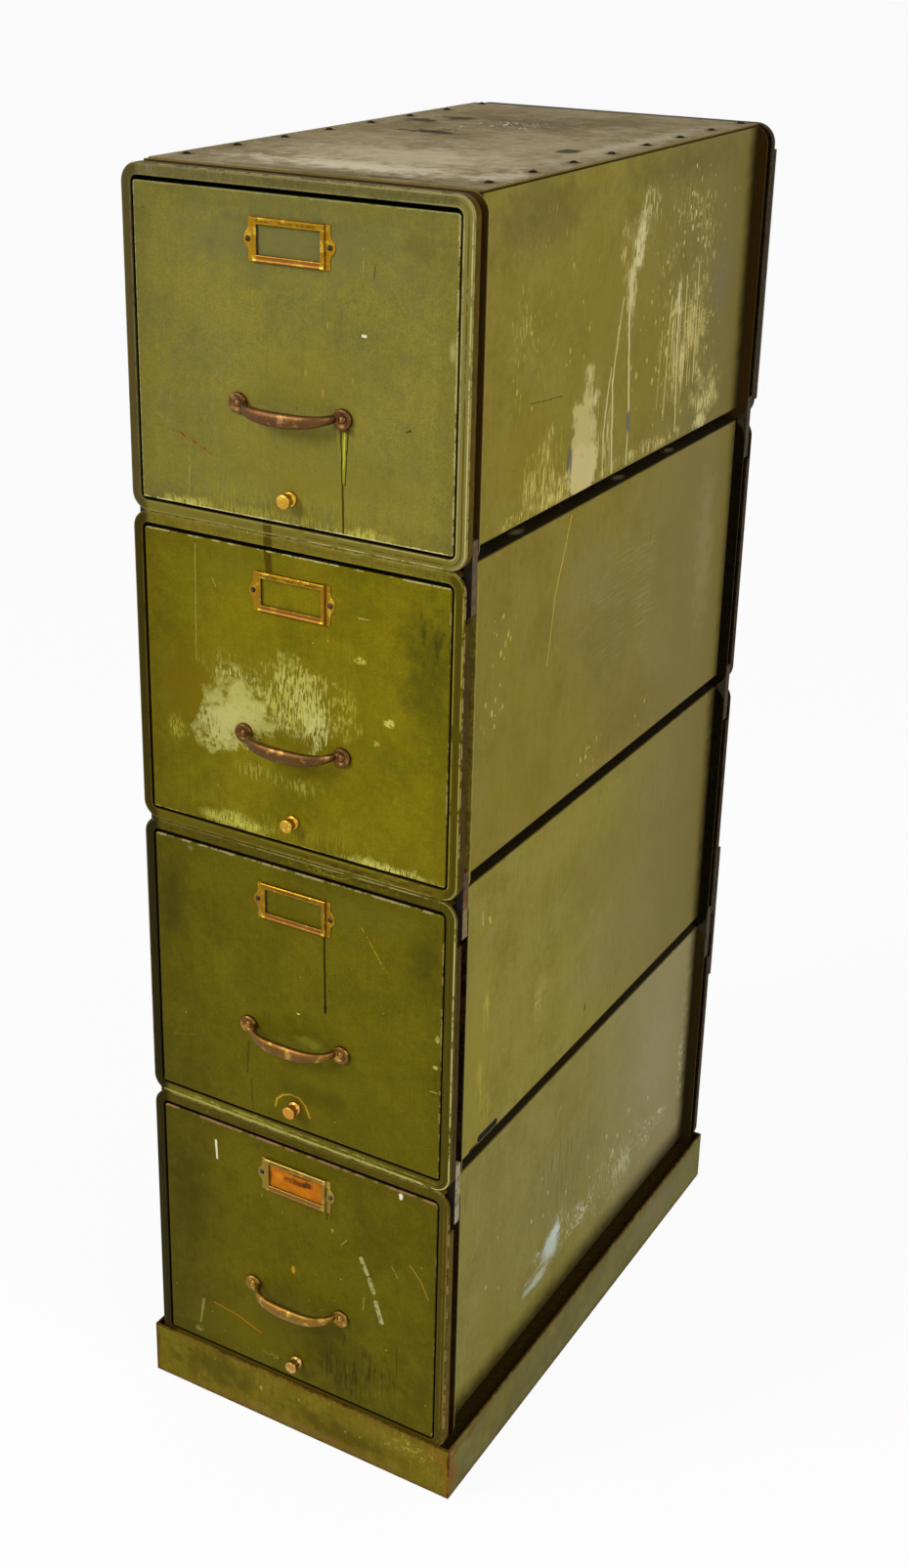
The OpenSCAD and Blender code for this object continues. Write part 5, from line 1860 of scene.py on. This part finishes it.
@dataclass
class FaceFrame:
    """The rolled frame in front of case n."""

    n: int
    rim_w: float = 11.0
    lip_y: float = -320.0
    flange_y: float = -309.5

    def __post_init__(self) -> None:
        """Starts the enamel with the tones of the four sides, the left one darkened as painted shade, and
        finds the depth from the edge.
        """
        look = self.look = RING_LOOKS[self.n]
        enamel = Enamel(look.top, shade(look.top, 0.88), shade(look.top, 1.08), 50.0, fleck_share=0.08,
                        run_share=0.05)
        coat = self.coat = enamel.start(f"face_frame_enamel_{self.n}", middle_point(self.n))
        x, z = coat.axes("XZ")
        coat.lay(coat.w.times(coat.w.fade(z, 26.0, 12.0), 0.85), look.bottom)
        # painted shade: the left side of the frame is darker
        coat.lay(coat.w.fade(x, -160.0, -168.0), look.left)
        coat.lay(coat.w.fade(x, 162.0, 170.0), look.right)
        self.depth = frame_outline(coat, RING_HALF_W)
        self.mottle = coat.use(mottled_coat, size=18.0)

    def face(self) -> None:
        """Lays the marks, and paints broken lines of highlight and shade along the roundings round the face,
        weaker to the left and on the upper bar.
        """
        coat, w, look = self.coat, self.coat.w, self.look
        x, y, z = coat.axes("XYZ")
        coat.mark(look.marks, Plane.FRONT, w.fade(y, FACE_Y + 2.5, FACE_Y + 1.0))
        # painted light: highlight lines on the outer and inner roundings and a shaded line of the lip's tone
        # between them, broken by noise as if rubbed
        lit = w.times(w.fade(x, -172.0, 150.0, 0.2, 0.95),
                      w.fade(z, SECTION_H - 30.0, SECTION_H - 14.0, 1.0, 0.45))
        for low, high, colour in ((0.8, 2.4, look.outer_line), (9.2, 10.7, look.inner_line),
                                  (4.6, 6.4, look.lip)):
            stripe = w.times(coat.between(self.depth, low, high, 0.3), w.fade(y, FACE_Y + 1.6, FACE_Y + 0.8))
            broken = w.times(w.fade(w.noise(coat.world, 24.0, 4.0, 0.75), 0.36, 0.5), lit)
            coat.lay(w.times(stripe, broken), colour, 0.55)

    def lip(self) -> None:
        """Darkens the side of the lip and rubs its rounding."""
        coat, w, look = self.coat, self.coat.w, self.look
        y, z = coat.axes("YZ")
        side = w.mix(self.mottle, look.lip, shade(look.lip, 0.74))
        dusty = w.fade(z, SECTION_H - 5.0, SECTION_H - 2.0, 0.0, 0.8 if self.n == 1 else 0.0)
        coat.lay(w.fade(y, FACE_Y + 1.2, FACE_Y + 2.2), w.mix(dusty, side, 0x4C4632), 0.65)
        rounding = w.times(w.fade(y, FACE_Y + 0.2, FACE_Y + 0.9), w.fade(y, FACE_Y + 2.6, FACE_Y + 1.6))
        rubbed = w.fade(w.noise(coat.world, 13.0, 4.0, 0.7), 0.46, 0.54)
        outer = w.times(w.fade(self.depth, 3.2, 1.8), look.line)
        coat.lay(w.times(rounding, rubbed, outer), 0x9C8852, 0.55)

    def channel(self) -> None:
        """Rusts the outer channel and paints shade on it: its floor near black, and its walls near black in
        sections 3 and 4.
        """
        coat, w, lip_y = self.coat, self.coat.w, self.lip_y
        y = coat.axis("Y")
        rust = coat.rust(9.0, 0x966222)
        coat.lay(w.times(w.fade(y, lip_y - 2.2, lip_y - 0.9), 0.55), rust, 0.8)
        # in sections 3 and 4 the channel's own tone is near black, as painted shade
        walls = w.mix(0.25 if self.n < 3 else 0.06, self.look.channel, rust)
        coat.lay(w.fade(y, lip_y + 0.1, lip_y + 0.6), walls, 0.85)
        # painted shade: the channel floor is near black
        floor = w.times(w.fade(self.depth, 6.2, 8.0), w.fade(y, lip_y, lip_y + 0.5))
        coat.lay(w.times(floor, 0.85), 0x0E0A04, 0.9)

    def flange(self) -> None:
        """Gives the rear flange its own colour, near black in sections 3 and 4 as painted shade, with brown
        patches and a pale edge.
        """
        coat, w = self.coat, self.coat.w
        y = coat.axis("Y")
        flange = w.fade(y, self.flange_y - 0.5, self.flange_y + 0.1)
        coat.lay(flange, self.look.flange, 0.7)
        coat.lay(w.times(flange, w.fade(self.mottle, 0.4, 0.8, 0.0, 0.5)), 0x483414, 0.8)
        edge = w.fade(y, self.flange_y + 1.3, self.flange_y + 1.9)
        coat.lay(w.times(edge, 0.7), 0x9E924E, 0.6)

    def build(self) -> None:
        """Dresses the face frame, with painted shade in black on its inner faces."""
        coat, w = self.coat, self.coat.w
        self.face()
        self.lip()
        self.channel()
        self.flange()
        # painted shade in the gap between the frame and the drawer
        inner = w.times(w.fade(self.depth, self.rim_w - 0.5, self.rim_w + 0.1),
                        w.fade(coat.axis("Y"), FACE_Y + 1.0, FACE_Y + 1.8))
        coat.lay(w.times(inner, 0.95), BLACK, 0.9)
        dress(f"face_frame_{self.n}", coat.enamelled())


@dataclass
class RearFrame:
    """The rolled frame behind case n."""

    n: int
    half_w: float = 185.0
    rear_y: float = 331.0
    bars_y: Point = (308.8, 320.4, 329.6)
    fronts: tuple[Rgb, ...] = (0x3C2A0E, NEAR_BLACK, NEAR_BLACK, 0x362C13)

    def build(self) -> None:
        """Dresses the rear frame in near-black brown, worn to rust, with painted shade in its channel and
        olive left on its rear face.
        """
        enamel = Enamel(0x22190A, NEAR_BLACK, 0x3E321A, 14.0, 0x786032, 0.06, run_share=0.05)
        coat = enamel.start(f"rear_frame_enamel_{self.n}", middle_point(self.n))
        w = coat.w
        y = coat.axis("Y")
        rust = coat.rust(12.0, 0x704C24)
        # painted shade in the channel between the front and middle bars
        coat.lay(w.times(coat.between(y, 311.0, 320.5, 0.8), 0.8), NEAR_BLACK, 0.9)
        for low in self.bars_y:
            coat.lay(w.times(coat.between(y, low, low + 1.8, 0.4), 0.8), rust, 0.8)
        front = w.fade(y, CASE_HALF_D + 2.0, CASE_HALF_D + 0.5)
        coat.lay(w.times(front, 0.85), self.fronts[self.n - 1], 0.8)
        rear = w.fade(y, self.rear_y - 1.6, self.rear_y - 0.6)
        coat.lay(rear, w.mix(coat.use(mottled_coat, size=40.0), 0x5C541E, 0x463E18), 0.6)
        edge = coat.rubbed(frame_outline(coat, self.half_w), 1.6, 0.4)
        coat.lay(w.times(edge, rear, 0.8), 0x78542C, 0.7)
        dress(f"rear_frame_{self.n}", coat.enamelled(0.02))


@dataclass
class Base:
    """The open base with its ledge."""

    half_w: float = 190.5
    half_d: float = 333.5
    height: float = 63.5

    def build(self) -> None:
        """Dresses the base in olive, paler on its sides, with rusty rims and corners and a ledge darkened as
        painted shade with a little rust.
        """
        enamel = Enamel(0x72640D, 0x66580A, 0x7C6C18, 34.0, fleck_share=0.14,
                        run=0x543E10, run_share=0.15)
        coat = enamel.start("base_enamel")
        w = coat.w
        across, along = (w.calc("ABSOLUTE", one) for one in coat.axes("XY"))
        side = w.times(w.fade(across, self.half_w - 2.0, self.half_w - 0.6),
                       w.fade(along, self.half_d - 0.8, self.half_d - 4.0))
        coat.lay(side, w.mix(coat.use(mottled_coat, size=80.0), 0x746E2E, 0x605A22))
        coat.mark(BASE_SIDE_MARKS, Plane.SIDE, side)
        coat.mark(BASE_FRONT_MARKS, Plane.FRONT, w.fade(along, self.half_d - 2.0, self.half_d - 0.6))
        depth = edge_depth(w, where=coat.where, centre=(0.0, 0.0, self.height / 2),
                           half=(self.half_w, self.half_d, self.height / 2))
        rust = coat.rust(7.0, 0x9C6220)
        stain = coat.use(worn_edge, depth=depth, width=9.0, ragged=0.9)
        coat.lay(w.times(stain, 0.35), 0x684C16, 0.7)
        coat.lay(w.times(coat.rubbed(depth, 2.4, 0.35), 0.85), rust, 0.85)
        # painted shade on the ledge and inside the base, with some rust
        inner = w.times(w.fade(across, self.half_w - 1.0, self.half_w - 2.2),
                        w.fade(along, self.half_d - 1.0, self.half_d - 2.2))
        coat.lay(w.times(inner, 0.95), w.mix(0.15, 0x1E1906, rust), 0.9)
        dress("base_plinth", coat.enamelled())


@dataclass
class Fittings:
    """Handles, label holders, knobs, rods, slides, clips, rivets and screws."""

    handle: BowHandle = BowHandle()
    holder: LabelHolder = LabelHolder()
    knob: TurnedKnob = TurnedKnob()
    clip_reach: float = 120.0
    clip_y: float = -318.6

    def build(self) -> None:
        """Builds the visible fittings and dresses the rest."""
        zinc = Metal("dull_zinc", 0x6E6A62, 0x484034, 0x969288, 0.6, 14.0, 0.5)
        rod = Metal("ground_rod", 0x96948E, 0x6E6458, 0xBEBCB6, 0.4, 14.0, 0.3)
        grey = Metal("grey_enamel", 0x5C6056, 0x4C4E44, 0x6E7066, 0.5, 40.0, 0.55, metallic=0.0)
        rivet = Metal("rivet_head", 0x221B10, 0x120D07, 0x423622, 0.6, 4.0, 0.7, metallic=0.0,
                      specular=0.05)
        shared = {"case_rails": zinc.material(), "guide_rod": rod.material(), "follower": grey.material()}
        shared["slides"] = shared["case_rails"]
        for n in SECTIONS:
            bronze = Metal(f"bronze_{n}", *BRONZES[n], 0.55, 16.0, 0.4, 0.15)
            self.handle.build(n, bronze.material())
            self.holder.build(n, Metal(f"holder_brass_{n}", *HOLDER_BRASSES[n], 0.4, 12.0, 0.36, 0.2))
            self.knob.build(n, Metal(f"knob_brass_{n}", *KNOB_BRASSES[n], 0.35, 9.0, 0.34, 0.15).material())
            for node, material in shared.items():
                dress(f"{node}_{n}", material)
            dress(f"drawer_screws_{n}", self.screws(n, bronze.base))
        dress("stack_clips", self.clips())
        dress("top_rivets", rivet.material())
        dress("label_card", self.card())

    def screws(self, n: int, bronze: Rgb) -> Material:
        """Dark label pins, and below them handle screws of the handle's own bronze, dark at their rims and
        lighter at their middles as a painted highlight.

        Args:
            n: the drawer.
            bronze: the colour of its handle.

        Returns:
            The material of both.
        """
        dark = Metal(f"screws_{n}", 0x342A1E, 0x1E160E, 0x685840, 0.5, 3.0, 0.45, metallic=0.7)
        coat = dark.start(middle_point(n, self.handle.foot_z))
        w = coat.w
        x, z = coat.axes("XZ")
        span = w.calc("SUBTRACT", w.calc("ABSOLUTE", x), self.handle.half_span)
        away = w.arrow("LENGTH", w.join(span, z, 0.0))
        coat.lay(w.fade(away, 4.6, 3.4), bronze, 0.4, 1.0)
        # painted highlight: a lighter copy of the bronze in the middle of each screw head
        coat.lay(w.fade(away, 2.2, 1.2), shade(bronze, 1.25), 0.35)
        return coat.finish()

    def clips(self) -> Material:
        """The clips' bare steel.

        Returns:
            A steel that is grey-brown at the upper seam, pale at the two lower ones and rusty between, with
            painted shade in near black on the clips' front faces.
        """
        coat = Coat("clip_steel", 0x604A28, 0.7)
        w = coat.w
        z, y = coat.axes("ZY")
        coat.lay(0.75, coat.rust(8.0, 0x96642C), 0.8)
        mottle = coat.use(mottled_coat, size=10.0)
        upper, lower = (coat.between(z, section_z(n) - self.clip_reach, section_z(n) + self.clip_reach)
                        for n in (1, 3))
        middle = coat.between(z, section_z(2) - self.clip_reach, section_z(2) - 8.0, 8.0)
        coat.lay(w.times(middle, 0.8), w.mix(mottle, 0x968658, 0x705C34), 0.7)
        coat.lay(w.times(upper, 0.9), w.mix(mottle, 0x64502E, 0x3A2A16), 0.7)
        coat.lay(w.times(lower, 0.95), w.mix(mottle, 0xACA280, 0x685838), 0.6)
        # painted shade: the clips' front faces are near black
        coat.lay(w.fade(y, self.clip_y, self.clip_y - 0.8), 0x22180A, 0.9)
        coat.lay(w.fade(y, 0.0, 10.0), w.mix(mottle, 0x42361E, 0x221A0E), 0.8)
        coat.raise_by(w.noise(coat.world, 2.0, 2.0), 0.05)
        return coat.finish(0.3)

    def card(self) -> Material:
        """The amber card.

        Returns:
            An amber with fibres, brown stains, and darker bands along its top and left that are painted
            shadow of the holder's frame.
        """
        coat = Coat("amber_card", 0xC4740E, 0.6, middle_point(4, self.holder.foot_z))
        w = coat.w
        coat.lay(coat.use(mottled_coat, size=14.0), 0xB05E0A)
        coat.grain(w.noise(w.arrow("DIVIDE", coat.world, (6.0, 6.0, 0.8)), 1.0), 0.9, 1.1)
        coat.mark(CARD_MARKS, Plane.FRONT)
        return coat.enamelled(0.1)


# ---- studio


@dataclass(frozen=True)
class Studio:
    """Camera, lamps, pale floor and white surroundings."""

    image_w: float = 929.0
    image_h: float = 1605.0
    sensor: float = 36.0
    focal_px: float = 2038.0
    middle: Spot = (422.5, 688.3)
    eye: Point = (966.3, -1765.1, 1580.9)
    right: Point = (0.8607128, 0.5088637, 0.0152069)
    down: Point = (0.1998213, -0.3102107, -0.9294303)
    ahead: Point = (-0.468236, 0.8030112, -0.3686841)
    ambient: float = 0.42
    floor_half: float = 30.0
    floor_grey: float = 0.86
    floor_glow: float = 0.93
    view_end: float = 200.0

    def camera(self) -> None:
        """Places the camera from its eye point and its three viewing directions."""
        lens = bpy.data.cameras.new("camera")
        lens.sensor_width = self.sensor
        lens.lens = self.focal_px * self.sensor / self.image_h
        lens.shift_x = (self.image_w / 2 - self.middle[0]) / self.image_h
        lens.shift_y = (self.middle[1] - self.image_h / 2) / self.image_h
        lens.clip_end = self.view_end
        camera = link_object("camera", lens)
        matrix = np.eye(4)
        matrix[:3, :3] = np.array([self.right, [-v for v in self.down], [-v for v in self.ahead]]).T
        matrix[:3, 3] = np.array(self.eye) * MM
        camera.matrix_world = Matrix(matrix.tolist())
        bpy.context.scene.camera = camera

    def lamp(self, name: str, place: Point, target: Point, size: float, watts: float) -> None:
        """Hangs one square soft lamp.

        Args:
            name: its name.
            place: where it hangs, in metres.
            target: the point that it faces, in metres.
            size: its side, in metres.
            watts: its power.
        """
        data = bpy.data.lights.new(name, "AREA")
        data.size = size
        data.energy = watts
        lamp = link_object(name, data)
        lamp.rotation_euler = (Vector(place) - Vector(target)).to_track_quat("Z", "Y").to_euler()
        lamp.location = place

    def seen(self, w: Wiring) -> Socket:
        """One for the rays that look at a surface, and nought for those that light it.

        Args:
            w: the wiring of a world or a material.

        Returns:
            One for camera, glossy and transmission rays.
        """
        path = w.add("LightPath")
        glossy = w.calc("MAXIMUM", path.outputs["Is Camera Ray"], path.outputs["Is Glossy Ray"])
        return w.calc("MAXIMUM", glossy, path.outputs["Is Transmission Ray"])

    def surroundings(self) -> None:
        """A world that is white to look at and lights the object softly."""
        world = bpy.data.worlds.new("studio")
        bpy.context.scene.world = world
        w = Wiring.fresh(world)
        strength = w.ramp(self.seen(w), 1.0 - self.ambient, self.ambient)
        light = w.add("Background", {"Color": (*ONES, 1.0), "Strength": strength})
        w.add("OutputWorld", {"Surface": light.outputs[0]})

    def floor(self) -> None:
        """A wide pale floor that keeps the object's shadow and looks white elsewhere."""
        half = self.floor_half
        mesh = bpy.data.meshes.new("floor")
        corners = [(-half, -half, 0), (half, -half, 0), (half, half, 0), (-half, half, 0)]
        mesh.from_pydata(corners, [], [(0, 1, 2, 3)])
        material = bpy.data.materials.new("pale_floor")
        w = Wiring.fresh(material)
        matt = w.add("BsdfDiffuse", {"Color": (*[self.floor_grey] * 3, 1.0)})
        glow = w.add("Emission", {"Color": (*ONES, 1.0), "Strength": 1.0})
        share = w.times(self.seen(w), self.floor_glow)
        both = w.add("MixShader", {0: share, 1: matt.outputs[0], 2: glow.outputs[0]})
        w.add("OutputMaterial", {"Surface": both.outputs[0]})
        mesh.materials.append(material)
        link_object("floor", mesh)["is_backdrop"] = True

    def build(self) -> None:
        """Sets up the whole studio."""
        self.camera()
        self.surroundings()
        self.floor()
        self.lamp("key_lamp", (-2.2, -3.4, 3.4), (0.0, -0.2, 1.0), 1.8, 118.0)
        self.lamp("side_lamp", (3.6, -1.0, 2.8), (0.0, 0.0, 0.9), 2.4, 66.0)
        bpy.context.scene.view_settings.view_transform = "Standard"


def main() -> None:
    """Builds the studio and every sub-assembly in order, and works out both boxes."""
    logging.basicConfig(level=logging.INFO, format="%(message)s")
    sections = [kind(n) for n in SECTIONS for kind in (Case, FaceFrame, RearFrame, DrawerFront)]
    for piece in (Studio(), Base(), *sections, Fittings()):
        piece.build()
    boxes = {"cad": [list(v) for v in CAD_BOX], "visual": [list(v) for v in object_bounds()]}


if __name__ == "__main__":
    main()
